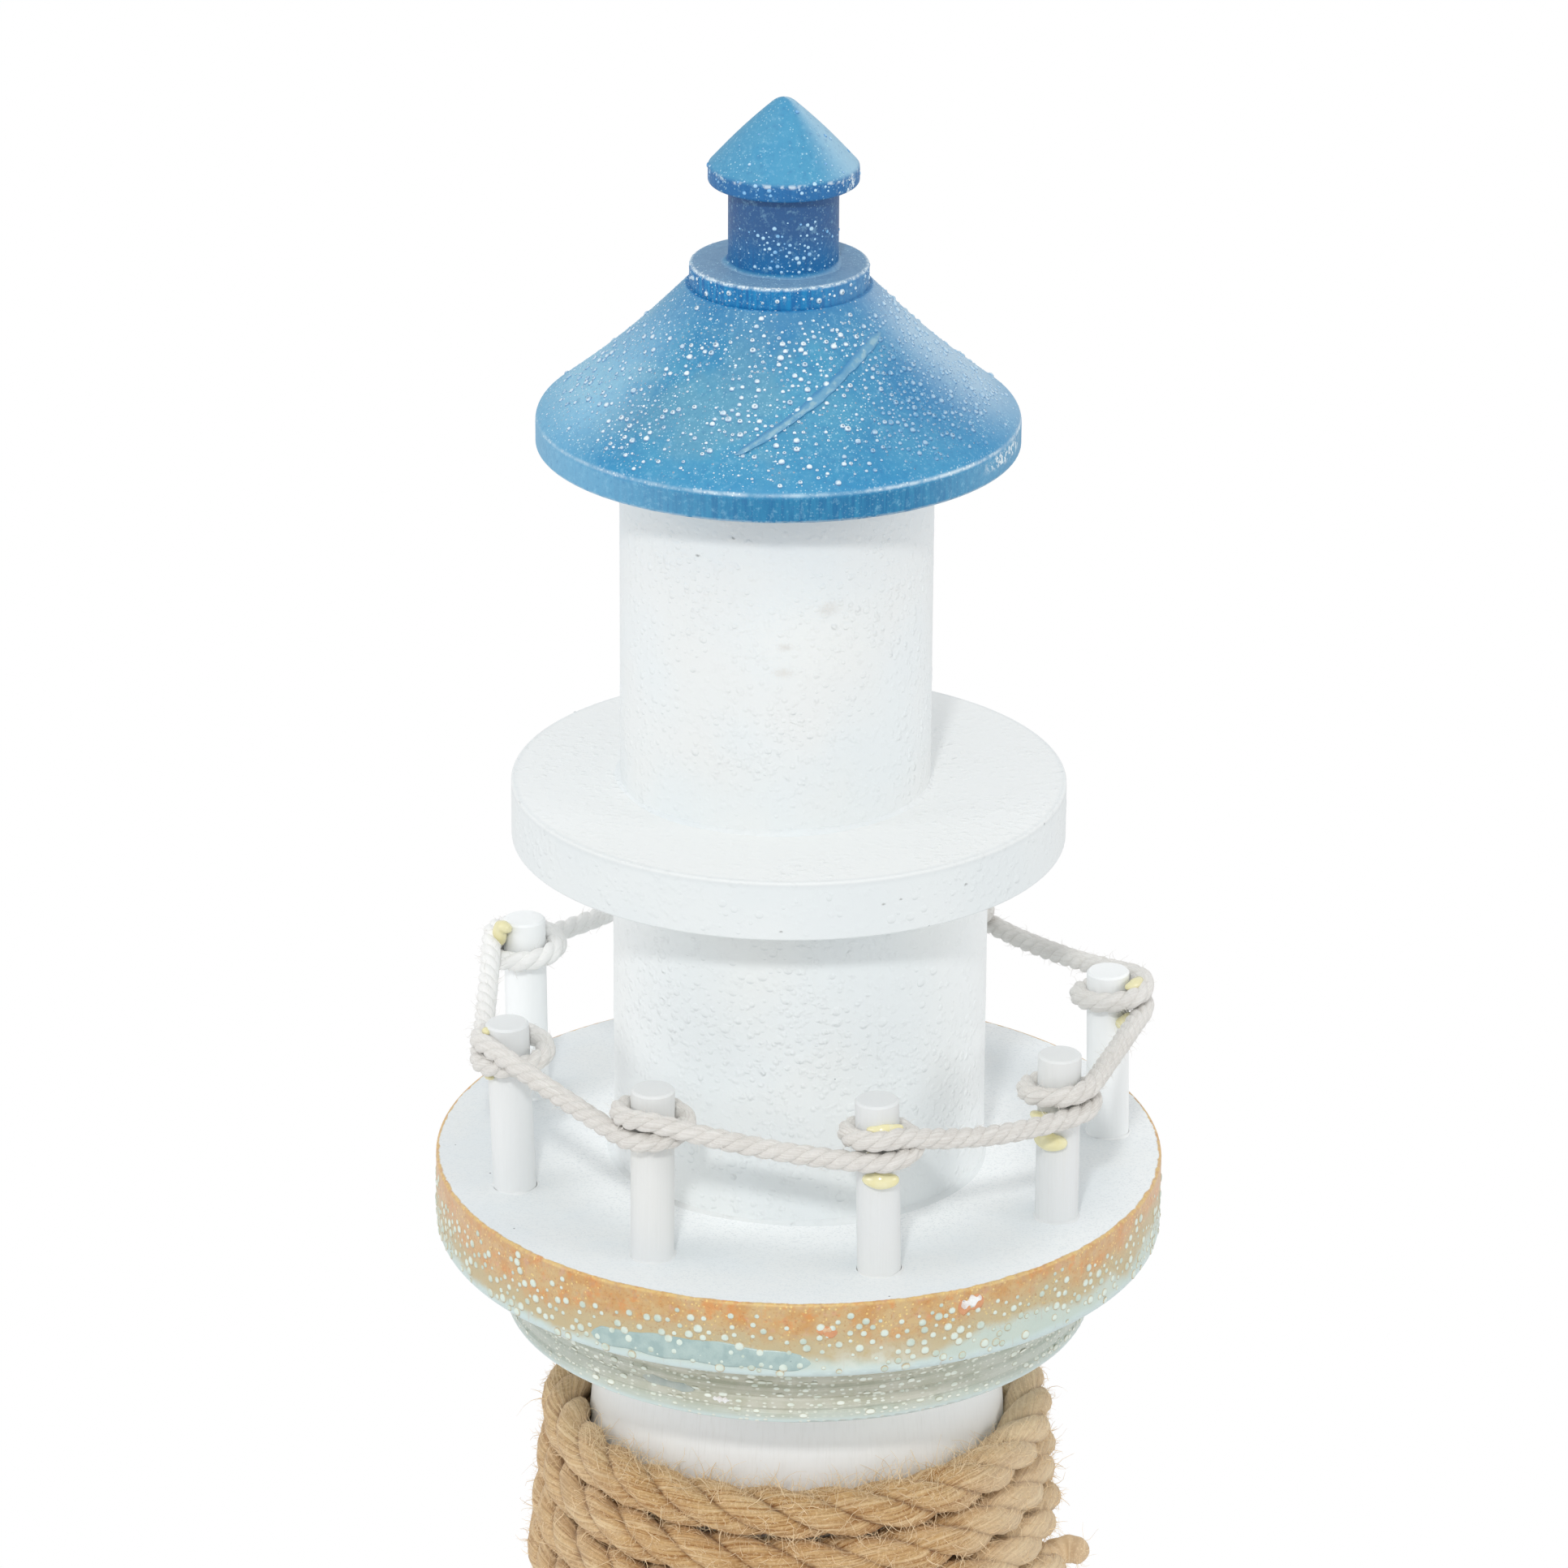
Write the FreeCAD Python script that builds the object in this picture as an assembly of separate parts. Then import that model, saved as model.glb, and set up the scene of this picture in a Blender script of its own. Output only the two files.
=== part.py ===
import FreeCAD, Part
import os
from math import acos, atan2, ceil, cos, degrees, pi, radians, sin, sqrt, tan

# A lighthouse figurine of turned wood, glued and pinned together.
# All sizes are in millimetres. X points right, Y away from the viewer, Z up.
# The origin is the centre of the felt disc's underside.

Vector = FreeCAD.Vector

# Turned stack, from the shelf up
felt_thickness = 1.5
felt_inset = 4.0
plinth_radius = 88.0
plinth_height = 24.0
plinth_edge = 3.0
base_step_radius = 77.0
base_step_height = 14.5
base_step_edge = 2.5
tower_foot_radius = 70.0
tower_neck_radius = 37.2
tower_height = 324.2
tower_edge = 0.8
step_disc_radius = 55.5
step_disc_height = 15.6
step_disc_edge = 0.8
step_groove_count = 5
step_groove_width = 1.1
step_groove_depth = 0.35
deck_radius = 68.4
deck_height = 15.0
deck_top_edge = 0.6
deck_foot_edge = 1.6
watch_room_radius = 34.8
watch_room_height = 63.8
room_edge = 0.5
upper_gallery_radius = 51.3
upper_gallery_height = 11.3
upper_gallery_edge = 0.5
lamp_room_radius = 28.65
lamp_room_height = 65.3

# Roof and finial
roof_radius = 44.0
roof_rim_height = 5.8
roof_foot_edge = 0.6
roof_ridge_edge = 3.0
roof_cone_height = 24.4
roof_cone_hollow = 1.2
collar_foot_radius = 16.8
collar_radius = 16.2
collar_height = 4.0
collar_edge = 0.6
finial_neck_radius = 9.95
finial_neck_height = 15.0
cap_radius = 13.6
cap_rim_height = 3.1
cap_foot_edge = 0.6
cap_ridge_edge = 0.8
cap_cone_height = 13.5
cap_cone_bow = 0.5
cap_tip_edge = 3.2
bow_spread_share = 0.6
spigot_radius = 6.0
spigot_length = 16.0
spigot_edge = 0.8

# The rooms were glued up slightly off the tower's axis, towards -X
upper_gallery_shift = 2.3
lamp_room_shift = 4.8
roof_shift = 4.6
finial_shift = 3.9

# Joinery
pin_radius = 6.0
pin_hold = 22.0
roof_pin_wall = 7.0
pin_end_gap = 0.6
pin_edge = 0.8
hole_clearance = 0.1
overrun = 1.0
screw_count = 3
screw_circle_radius = 30.0
screw_shank_radius = 2.2
screw_head_radius = 4.5
screw_head_height = 2.6
screw_length = 70.0
screw_point_length = 6.0

# Railing posts
post_radius = 4.0
post_stand = 33.2
post_stand_shares = (1.09, 1.0, 1.0, 1.02, 0.985, 1.0, 1.0, 1.0)
post_socket_depth = 8.0
post_clearance = 0.12
post_top_edge = 0.4
post_angles = (-113.9, -70.4, -29.2, 15.4, 57.5, 96.6, 148.5, 202.0)
post_place_shares = (0.83, 0.82, 0.80, 0.805, 0.825, 0.862, 0.825, 0.82)
post_lean_shares = (-0.012, -0.036, 0.004, -0.022, 0.0, -0.02, 0.01, 0.0)

# Railing cord: a round turn on each post, sagging a little between posts
cord_radius = 1.9
cord_seat_gap = 0.2
cord_turn_gap = 0.5
wrap_drop_shares = (0.83, 0.76, 0.97, 1.39, 1.37, 0.66, 1.05, 1.05)
span_sag_shares = (0.02, 0.01, 0.03, 0.05, 0.01, 0.03, 0.04, 0.03)
wrap_step = 90.0
end_turn = 130.0

# Hot glue on the posts, each as post number, angle on the post from its outer side,
# above (1) or below (-1) the cord, and width, height and thickness as shares of the post
glue_clearance = 0.1
glue_cord_gap = 0.6
glue_bead_shares = (
    (0, -50.0, 1, 0.50, 0.42, 0.45),
    (1, -62.0, 1, 0.30, 0.30, 0.30),
    (2, -40.0, -1, 0.40, 0.26, 0.35),
    (3, 5.0, 1, 0.85, 0.30, 0.30),
    (3, -8.0, -1, 0.80, 0.50, 0.45),
    (4, -60.0, -1, 0.65, 0.42, 0.45),
    (5, -70.0, -1, 0.45, 0.62, 0.55),
    (6, -20.0, 1, 0.50, 0.40, 0.40),
    (7, 10.0, -1, 0.55, 0.40, 0.40),
)

# Jute rope: level turns over the front, each climb spread over the hidden back
rope_radius = 4.5
rope_turn_gap = 0.6
rope_seat_gap = 0.4
rope_top_drop = 19.9
rope_turns = 4
rope_end_angle = 68.0
strand_radius = 2.5
strand_lead = 2.0
strand_bend_radius = 5.0
strand_reach = 3.0
strand_tip_edge = 2.0

# Heights of the faces that the pieces share
plinth_foot = felt_thickness
base_step_foot = plinth_foot + plinth_height
tower_foot = base_step_foot + base_step_height
step_disc_foot = tower_foot + tower_height
deck_foot = step_disc_foot + step_disc_height
deck_top = deck_foot + deck_height
upper_gallery_foot = deck_top + watch_room_height
lamp_room_foot = upper_gallery_foot + upper_gallery_height
roof_foot = lamp_room_foot + lamp_room_height
roof_ridge = roof_foot + roof_rim_height
collar_foot = roof_ridge + roof_cone_height
collar_top = collar_foot + collar_height
cap_foot = collar_top + finial_neck_height
cap_ridge = cap_foot + cap_rim_height
finial_top = cap_ridge + cap_cone_height

UP = Vector(0, 0, 1)


def save(shape, node):
    shape.exportStep("parts/" + node + ".step")
    print(node, "solids", len(shape.Solids), "volume", round(shape.Volume), "valid", shape.isValid())


def corner(before, point, after, radius):
    """Return where a rounding of this radius starts, its middle and its end."""
    to_before = (before - point).normalize()
    to_after = (after - point).normalize()
    half_angle = acos(max(-1.0, min(1.0, to_before.dot(to_after)))) / 2
    inset = radius / tan(half_angle)
    start = point + to_before * inset
    end = point + to_after * inset
    bisector = (to_before + to_after).normalize()
    middle = point + bisector * (radius / sin(half_angle) - radius)
    return start, middle, end


def arc_edge(start, tangent, end):
    """The circular edge from start to end that leaves start along the tangent."""
    chord = end - start
    along = Vector(chord).normalize()
    lean = tangent - along * tangent.dot(along)
    if lean.Length < 1e-5:
        return Part.LineSegment(start, end).toShape()
    half_angle = atan2(lean.Length, tangent.dot(along))
    rise = chord.Length / 2 * tan(half_angle / 2)
    middle = (start + end) * 0.5 + lean.normalize() * rise
    return Part.Arc(start, middle, end).toShape()


def turned(outline, axis_x=0):
    """Revolve an outline of (radius, height, rounding) points that starts and ends on the axis."""
    points = [Vector(radius, 0, height) for radius, height, rounding in outline]
    edges = []
    last = points[0]
    for place in range(1, len(points) - 1):
        rounding = outline[place][2]
        if rounding > 0:
            start, middle, end = corner(points[place - 1], points[place], points[place + 1], rounding)
            edges.append(Part.LineSegment(last, start).toShape())
            edges.append(Part.Arc(start, middle, end).toShape())
            last = end
        else:
            edges.append(Part.LineSegment(last, points[place]).toShape())
            last = points[place]
    tip = points[-1]
    tip_rounding = outline[-1][2]
    if tip_rounding > 0:
        mirrored = Vector(-points[-2].x, 0, points[-2].z)
        start, tip, mirrored_start = corner(points[-2], points[-1], mirrored, tip_rounding)
        edges.append(Part.LineSegment(last, start).toShape())
        edges.append(arc_edge(start, (start - last).normalize(), tip))
    else:
        edges.append(Part.LineSegment(last, tip).toShape())
    edges.append(Part.LineSegment(tip, points[0]).toShape())
    solid = Part.Face(Part.Wire(edges)).revolve(Vector(0, 0, 0), UP, 360)
    solid.translate(Vector(axis_x, 0, 0))
    return solid


def bow_point(start_radius, start_height, end_radius, end_height, bow):
    """The middle point that bows a turned side outwards, rounded over most of the side."""
    along = Vector(end_radius - start_radius, 0, end_height - start_height)
    outward = Vector(along.z, 0, -along.x).normalize()
    middle = Vector(start_radius, 0, start_height) + along * 0.5 + outward * bow
    half = along.Length / 2
    return middle.x, middle.z, half * bow_spread_share * half / abs(bow)


def grooved_side(radius, foot, top):
    """The points up a turned side with evenly spaced grooves."""
    spacing = (top - foot) / (step_groove_count + 1)
    points = []
    for number in range(step_groove_count):
        middle = foot + spacing * (number + 1)
        points.append((radius, middle - step_groove_width / 2, 0))
        points.append((radius - step_groove_depth, middle, 0))
        points.append((radius, middle + step_groove_width / 2, 0))
    return points


def disc(radius, foot, height, foot_rounding, top_rounding, axis_x=0):
    top = foot + height
    return turned([(0, foot, 0), (radius, foot, foot_rounding), (radius, top, top_rounding),
                   (0, top, 0)], axis_x)


def drilled(solid, radius, foot, top, axis_x=0):
    hole = Part.makeCylinder(radius, top - foot, Vector(axis_x, 0, foot), UP)
    return solid.cut(hole)


def pin(foot, top, axis_x):
    """A joining dowel that sits on the foot of its hole and stays clear of the hole's top."""
    return disc(pin_radius, foot, top - foot - pin_end_gap, pin_edge, pin_edge, axis_x)


def biarc(start, start_tangent, end, end_tangent):
    """Two tangent arcs from one point and direction to another."""
    gap = end - start
    total = start_tangent + end_tangent
    spread = 2 * (1 - start_tangent.dot(end_tangent))
    reach = gap.dot(total)
    if spread < 1e-9:
        arm = gap.dot(gap) / (2 * reach)
    else:
        arm = (sqrt(reach * reach + spread * gap.dot(gap)) - reach) / spread
    first = start + start_tangent * arm
    second = end - end_tangent * arm
    middle = (first + second) * 0.5
    middle_tangent = (second - first).normalize()
    return [arc_edge(start, start_tangent, middle), arc_edge(middle, middle_tangent, end)]


def tube(edges, radius):
    """Sweep a round section along tangent lines and arcs."""
    spine = Part.Wire(edges)
    start = edges[0].valueAt(edges[0].FirstParameter)
    direction = edges[0].tangentAt(edges[0].FirstParameter)
    section = Part.Wire([Part.makeCircle(radius, start, direction)])
    swept = spine.makePipeShell([section], True, False)
    return swept if swept.ShapeType == "Solid" else Part.Solid(swept)


def report_tube(name, solid, edges, radius):
    """Print the tube's length, its smallest bend, its volume and its least gap to itself."""
    length = sum(edge.Length for edge in edges)
    bends = [edge.Curve.Radius for edge in edges if hasattr(edge.Curve, "Radius")]
    expected = pi * radius ** 2 * length
    samples = []
    travelled = 0
    for edge in edges:
        count = max(2, ceil(edge.Length / (radius * 0.5)))
        for place in range(count):
            share = (place + 0.5) / count
            parameter = edge.FirstParameter + (edge.LastParameter - edge.FirstParameter) * share
            samples.append((travelled + edge.Length * share, edge.valueAt(parameter)))
        travelled += edge.Length
    least = length
    for place, (at, point) in enumerate(samples):
        for other_at, other in samples[place + 1:]:
            if other_at - at > 6 * radius:
                least = min(least, (other - point).Length)
    print(name, "length", round(length, 1), "least bend", round(min(bends), 2),
          "volume share", round(solid.Volume / expected, 4), "least gap", round(least - 2 * radius, 3))
    return [round(bend, 1) for bend in bends]


def around(angle, radius, height, centre=Vector(0, 0, 0)):
    """A point at an angle from the front, growing towards +X."""
    turn = radians(angle)
    return Vector(centre.x + radius * sin(turn), centre.y - radius * cos(turn), height)


def heading(angle, slope=0):
    """The direction of travel there, from the left over the front to the right."""
    turn = radians(angle)
    return Vector(cos(turn), sin(turn), slope).normalize()


# Railing posts: foot on the socket's floor, and a small lean of the hand-drilled ones
posts = []
for angle, place_share, lean_share in zip(post_angles, post_place_shares, post_lean_shares):
    foot = around(angle, deck_radius * place_share, deck_top)
    posts.append((foot, Vector(lean_share, 0, 1).normalize()))
post_stands = [post_stand * share for share in post_stand_shares]


def post_point(number, height):
    """The post's axis at a height."""
    foot, axis = posts[number]
    return foot + axis * ((height - foot.z) / axis.z)


def make_post(number):
    foot, axis = posts[number]
    length = post_socket_depth + post_stands[number]
    post = Part.makeCylinder(post_radius, length, foot - axis * post_socket_depth, axis)
    top_edges = [edge for edge in post.Edges if edge.CenterOfMass.z > deck_top + post_stand / 2
                 and hasattr(edge.Curve, "Radius")]
    return post.makeChamfer(post_top_edge, top_edges)


# Railing cord
cord_turn = cord_radius * 2 + cord_turn_gap
wrap_radius = post_radius + cord_seat_gap + cord_radius
wrap_slope = cord_turn / (2 * pi * wrap_radius)


def span_heading(number):
    """The compass angle of the straight way from a post to the next one."""
    here = posts[number][0]
    there = posts[(number + 1) % len(posts)][0]
    way = there - here
    return degrees(atan2(way.y, way.x)) % 360


def wrap_angles(number):
    """Where on the post the cord arrives, and where it leaves after its round turn."""
    arrive = span_heading(number - 1)
    leave = span_heading(number)
    leave += 360 * ceil((arrive - leave) / 360)
    return arrive, leave + 360


def wrap_point(number, angle):
    """A point of the post's round turn, which climbs steadily."""
    arrive, leave = wrap_angles(number)
    top = deck_top + post_stands[number] - wrap_drop_shares[number] * cord_radius * 2
    height = top - (leave - angle) / 360 * cord_turn
    return around(angle, wrap_radius, height, post_point(number, height))


def wrap_edges(number, first_angle, last_angle):
    steps = ceil((last_angle - first_angle) / wrap_step)
    step = (last_angle - first_angle) / steps
    edges = []
    for place in range(steps):
        here = first_angle + place * step
        edges += biarc(wrap_point(number, here), heading(here, wrap_slope),
                       wrap_point(number, here + step), heading(here + step, wrap_slope))
    return edges


def span_edges(number):
    """The cord from one post's upper pass down to the next post's lower pass."""
    following = (number + 1) % len(posts)
    leave = wrap_angles(number)[1]
    arrive = wrap_angles(following)[0]
    start = wrap_point(number, leave)
    end = wrap_point(following, arrive)
    way = end - start
    middle = (start + end) * 0.5 - UP * (way.Length * span_sag_shares[number])
    middle_tangent = Vector(way).normalize()
    return (biarc(start, heading(leave, wrap_slope), middle, middle_tangent)
            + biarc(middle, middle_tangent, end, heading(arrive, wrap_slope)))


def railing_cord_edges():
    """The cord starts and ends at the last post, out of sight behind the watch room."""
    last = len(posts) - 1
    arrive, leave = wrap_angles(last)
    first_angle = leave - end_turn
    start = wrap_point(last, first_angle)
    direction = heading(first_angle, wrap_slope)
    edges = [Part.LineSegment(start - direction * (cord_radius * 2), start).toShape()]
    edges += wrap_edges(last, first_angle, leave)
    edges += span_edges(last)
    for number in range(last):
        edges += wrap_edges(number, *wrap_angles(number))
        edges += span_edges(number)
    last_angle = arrive + end_turn
    edges += wrap_edges(last, arrive, last_angle)
    end = wrap_point(last, last_angle)
    direction = heading(last_angle, wrap_slope)
    edges.append(Part.LineSegment(end, end + direction * (cord_radius * 2)).toShape())
    return edges


def glue_bead(number, side, level, width_share, height_share, depth_share):
    """A bead of set glue on a post, just above or below the cord's turn."""
    arrive, leave = wrap_angles(number)
    angle = (arrive + side) if level < 0 else (leave + side)
    half_height = post_radius * height_share
    reach = cord_radius + glue_cord_gap + half_height
    height = wrap_point(number, angle).z + level * reach
    axis_point = post_point(number, height)
    bead = Part.makeSphere(1)
    size = FreeCAD.Matrix()
    size.scale(post_radius * depth_share + glue_clearance, post_radius * width_share, half_height)
    bead = bead.transformGeometry(size)
    bead.rotate(Vector(0, 0, 0), UP, angle - 90)
    bead.translate(around(angle, post_radius, height, axis_point))
    foot, axis = posts[number]
    post = Part.makeCylinder(post_radius + glue_clearance, post_stand * 2, foot, axis)
    return bead.cut(post).Solids[0]


# Jute rope winding
rope_turn = rope_radius * 2 + rope_turn_gap
rope_first_height = step_disc_foot - rope_top_drop - rope_radius


def tower_radius(height):
    share = (height - tower_foot) / tower_height
    return tower_foot_radius + (tower_neck_radius - tower_foot_radius) * share


def rope_path_radius(height):
    return tower_radius(height) + rope_seat_gap + rope_radius


def rope_level(turn):
    return rope_first_height - turn * rope_turn


def rope_front(turn):
    """The path radius on a turn's level front half."""
    return rope_path_radius(rope_level(turn))


def rope_back(turn):
    """The middle of the climb at the back, between the turn before and this one."""
    height = (rope_level(turn - 1) + rope_level(turn)) / 2
    radius = (rope_front(max(turn - 1, 0)) + rope_front(turn)) / 2
    slope = -2 * rope_turn / (pi * radius)
    return around(180, radius, height), heading(180, slope)


def rope_edges():
    edges = []
    start, direction = rope_back(0)
    edges.append(Part.LineSegment(start - direction * (rope_radius * 2), start).toShape())
    for turn in range(rope_turns):
        middle, middle_direction = rope_back(turn)
        left = around(-90, rope_front(turn), rope_level(turn))
        front = around(0, rope_front(turn), rope_level(turn))
        right = around(90, rope_front(turn), rope_level(turn))
        edges += biarc(middle, middle_direction, left, heading(-90))
        edges.append(arc_edge(left, heading(-90), front))
        if turn < rope_turns - 1:
            edges.append(arc_edge(front, heading(0), right))
            following, following_direction = rope_back(turn + 1)
            edges += biarc(right, heading(90), following, following_direction)
        else:
            end = around(rope_end_angle, rope_front(turn), rope_level(turn))
            edges.append(arc_edge(front, heading(0), end))
            tail = end + heading(rope_end_angle) * (rope_radius * 2)
            edges.append(Part.LineSegment(end, tail).toShape())
    return edges


def rope_end_strand():
    """One strand of the cut rope's end, which bends outwards and ends round."""
    last = rope_turns - 1
    direction = heading(rope_end_angle)
    outward = direction.cross(UP)
    face = around(rope_end_angle, rope_front(last), rope_level(last)) + direction * (rope_radius * 2)
    bend_start = face + direction * strand_lead
    bend_end = bend_start + (direction + outward) * strand_bend_radius
    edges = [Part.LineSegment(face, bend_start).toShape(),
             arc_edge(bend_start, direction, bend_end),
             Part.LineSegment(bend_end, bend_end + outward * strand_reach).toShape()]
    strand = tube(edges, strand_radius)
    tip = bend_end + outward * strand_reach
    tip_edges = [edge for edge in strand.Edges if (edge.CenterOfMass - tip).Length < strand_radius / 2]
    return strand.makeFillet(strand_tip_edge, tip_edges)


def make_screw(angle):
    """A countersunk wood screw, head down, flush with the plinth's underside."""
    shank_top = screw_length - screw_point_length
    outline = [(0, 0, 0), (screw_head_radius, 0, 0), (screw_shank_radius, screw_head_height, 0),
               (screw_shank_radius, shank_top, 0), (0, screw_length, 0)]
    screw = turned(outline)
    screw.translate(around(angle, screw_circle_radius, plinth_foot))
    return screw


def screw_hole(angle):
    """The room that a screw takes, with its clearance."""
    head = screw_head_radius + hole_clearance
    shank = screw_shank_radius + hole_clearance
    shank_top = screw_length - screw_point_length
    slant = (screw_head_radius - screw_shank_radius) / screw_head_height
    outline = [(0, -overrun, 0), (head + overrun * slant, -overrun, 0),
               (shank, screw_head_height, 0), (shank, shank_top, 0),
               (0, screw_length + hole_clearance, 0)]
    hole = turned(outline)
    hole.translate(around(angle, screw_circle_radius, plinth_foot))
    return hole


os.makedirs("parts", exist_ok=True)

# Base: felt, plinth, step and screws
screw_angles = [180 + 360 * number / screw_count for number in range(screw_count)]
screw_holes = Part.makeCompound([screw_hole(angle) for angle in screw_angles])
felt = disc(plinth_radius - felt_inset, 0, felt_thickness, 0, 0)
plinth = disc(plinth_radius, plinth_foot, plinth_height, plinth_edge / 2, plinth_edge)
base_step = disc(base_step_radius, base_step_foot, base_step_height, 0, base_step_edge)
save(felt, "base_felt")
save(plinth.cut(screw_holes), "base_plinth")
save(base_step.cut(screw_holes), "base_step")
save(Part.makeCompound([make_screw(angle) for angle in screw_angles]), "base_screws")

# Tower, with a blind hole for the gallery pin
gallery_pin_foot = step_disc_foot - pin_hold
gallery_pin_top = deck_top + pin_hold
pin_hole_radius = pin_radius + hole_clearance
tower = turned([(0, tower_foot, 0), (tower_foot_radius, tower_foot, tower_edge),
                (tower_neck_radius, step_disc_foot, tower_edge), (0, step_disc_foot, 0)])
tower = drilled(tower.cut(screw_holes), pin_hole_radius, gallery_pin_foot, step_disc_foot + overrun)
save(tower, "tower_body")

# Galleries and rooms
step_disc = turned([(0, step_disc_foot, 0), (step_disc_radius, step_disc_foot, step_disc_edge)]
                   + grooved_side(step_disc_radius, step_disc_foot, deck_foot)
                   + [(step_disc_radius, deck_foot, step_disc_edge), (0, deck_foot, 0)])
step_disc = drilled(step_disc, pin_hole_radius, step_disc_foot - overrun, deck_foot + overrun)
save(step_disc, "gallery_step_disc")

sockets = []
for foot, axis in posts:
    socket_foot = foot - axis * post_socket_depth
    sockets.append(Part.makeCylinder(post_radius + post_clearance, post_socket_depth + overrun,
                                     socket_foot, axis))
deck = disc(deck_radius, deck_foot, deck_height, deck_foot_edge, deck_top_edge)
deck = drilled(deck, pin_hole_radius, deck_foot - overrun, deck_top + overrun)
save(deck.cut(Part.makeCompound(sockets)), "gallery_deck")

upper_pin_foot = upper_gallery_foot - pin_hold
upper_pin_top = lamp_room_foot + pin_hold
watch_room = disc(watch_room_radius, deck_top, watch_room_height, room_edge, room_edge)
watch_room = drilled(watch_room, pin_hole_radius, deck_top - overrun, gallery_pin_top)
watch_room = drilled(watch_room, pin_hole_radius, upper_pin_foot, upper_gallery_foot + overrun,
                     -upper_gallery_shift)
save(watch_room, "watch_room")

upper_gallery = disc(upper_gallery_radius, upper_gallery_foot, upper_gallery_height,
                     upper_gallery_edge, upper_gallery_edge, -upper_gallery_shift)
upper_gallery = drilled(upper_gallery, pin_hole_radius, upper_gallery_foot - overrun,
                        lamp_room_foot + overrun, -upper_gallery_shift)
save(upper_gallery, "upper_gallery")

roof_pin_foot = roof_foot - pin_hold
spigot_foot = collar_top - spigot_length
roof_pin_top = spigot_foot - roof_pin_wall
lamp_room = disc(lamp_room_radius, lamp_room_foot, lamp_room_height, room_edge, room_edge,
                 -lamp_room_shift)
lamp_room = drilled(lamp_room, pin_hole_radius, lamp_room_foot - overrun, upper_pin_top,
                    -upper_gallery_shift)
lamp_room = drilled(lamp_room, pin_hole_radius, roof_pin_foot, roof_foot + overrun, -roof_shift)
save(lamp_room, "lamp_room")

# Roof and finial
cone_bend = bow_point(roof_radius, roof_ridge, collar_foot_radius, collar_foot, -roof_cone_hollow)
roof = turned([(0, roof_foot, 0), (roof_radius, roof_foot, roof_foot_edge),
               (roof_radius, roof_ridge, roof_ridge_edge), cone_bend,
               (collar_foot_radius, collar_foot, 0), (collar_radius, collar_foot, 0),
               (collar_radius, collar_top, collar_edge), (0, collar_top, 0)], -roof_shift)
roof = drilled(roof, pin_hole_radius, roof_foot - overrun, roof_pin_top, -roof_shift)
roof = drilled(roof, spigot_radius + hole_clearance, spigot_foot - hole_clearance,
               collar_top + overrun, -finial_shift)
save(roof, "roof")

cap_bend = bow_point(cap_radius, cap_ridge, 0, finial_top, cap_cone_bow)
finial = turned([(0, spigot_foot, 0), (spigot_radius, spigot_foot, spigot_edge),
                 (spigot_radius, collar_top, 0), (finial_neck_radius, collar_top, room_edge),
                 (finial_neck_radius, cap_foot, room_edge), (cap_radius, cap_foot, cap_foot_edge),
                 (cap_radius, cap_ridge, cap_ridge_edge), cap_bend,
                 (0, finial_top, cap_tip_edge)], -finial_shift)
save(finial, "finial")

# Joining pins
save(pin(gallery_pin_foot, gallery_pin_top, 0), "gallery_pin")
save(pin(upper_pin_foot, upper_pin_top, -upper_gallery_shift), "upper_pin")
save(pin(roof_pin_foot, roof_pin_top, -roof_shift), "roof_pin")

# Railing
for number in range(len(posts)):
    save(make_post(number), "rail_post_" + str(number + 1))
cord_edges = railing_cord_edges()
railing_cord = tube(cord_edges, cord_radius)
cord_bends = report_tube("railing_cord", railing_cord, cord_edges, cord_radius)
print("railing_cord radii", cord_bends)
save(railing_cord, "railing_cord")
save(Part.makeCompound([glue_bead(*bead) for bead in glue_bead_shares]), "railing_glue")

# Rope
winding_edges = rope_edges()
rope_winding = tube(winding_edges, rope_radius)
winding_bends = report_tube("rope_winding", rope_winding, winding_edges, rope_radius)
print("rope_winding radii", winding_bends)
save(rope_winding, "rope_winding")
save(rope_end_strand(), "rope_end_strand")
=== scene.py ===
# %% [markdown]
# # A turned lighthouse figurine with a rope railing
# The solids of the figurine come from CAD and are loaded as a fixed frame. This notebook
# dresses them: every turned piece keeps its solid and gets a painted finish, and the soft
# pieces (cotton cord, jute rope, hot glue) are made again with their strands and fibres.
# All sizes are written in millimetres and multiplied by `mm`, because Blender's unit is
# the metre.

# %% Load the frame
import bmesh
import bpy
from math import atan2, ceil, cos, degrees, pi, radians, sin
from mathutils import Euler, Matrix, Vector


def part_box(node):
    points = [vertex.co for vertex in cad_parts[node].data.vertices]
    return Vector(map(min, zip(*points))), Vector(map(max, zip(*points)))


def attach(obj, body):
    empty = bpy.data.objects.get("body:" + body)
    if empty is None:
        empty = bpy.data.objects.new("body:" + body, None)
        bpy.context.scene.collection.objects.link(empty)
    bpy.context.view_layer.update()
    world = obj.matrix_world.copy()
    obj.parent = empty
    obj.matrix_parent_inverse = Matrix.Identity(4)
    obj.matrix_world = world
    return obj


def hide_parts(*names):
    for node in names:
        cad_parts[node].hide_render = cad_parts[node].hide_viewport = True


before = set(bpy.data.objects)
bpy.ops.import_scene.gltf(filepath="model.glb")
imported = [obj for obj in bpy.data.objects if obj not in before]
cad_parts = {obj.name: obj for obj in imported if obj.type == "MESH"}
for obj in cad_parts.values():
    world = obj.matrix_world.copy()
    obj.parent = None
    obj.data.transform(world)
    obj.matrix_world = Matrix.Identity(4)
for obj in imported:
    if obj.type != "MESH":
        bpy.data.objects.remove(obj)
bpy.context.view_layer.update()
mm = 0.001
print("nodes in the frame:", len(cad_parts))

# %% [markdown]
# ## Measuring the turned pieces
# A piece from the lathe is known by its axis, its radius and its two end faces. They are
# read from the frame, not typed in, so that paint and rope follow the solids if these
# change.


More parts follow.
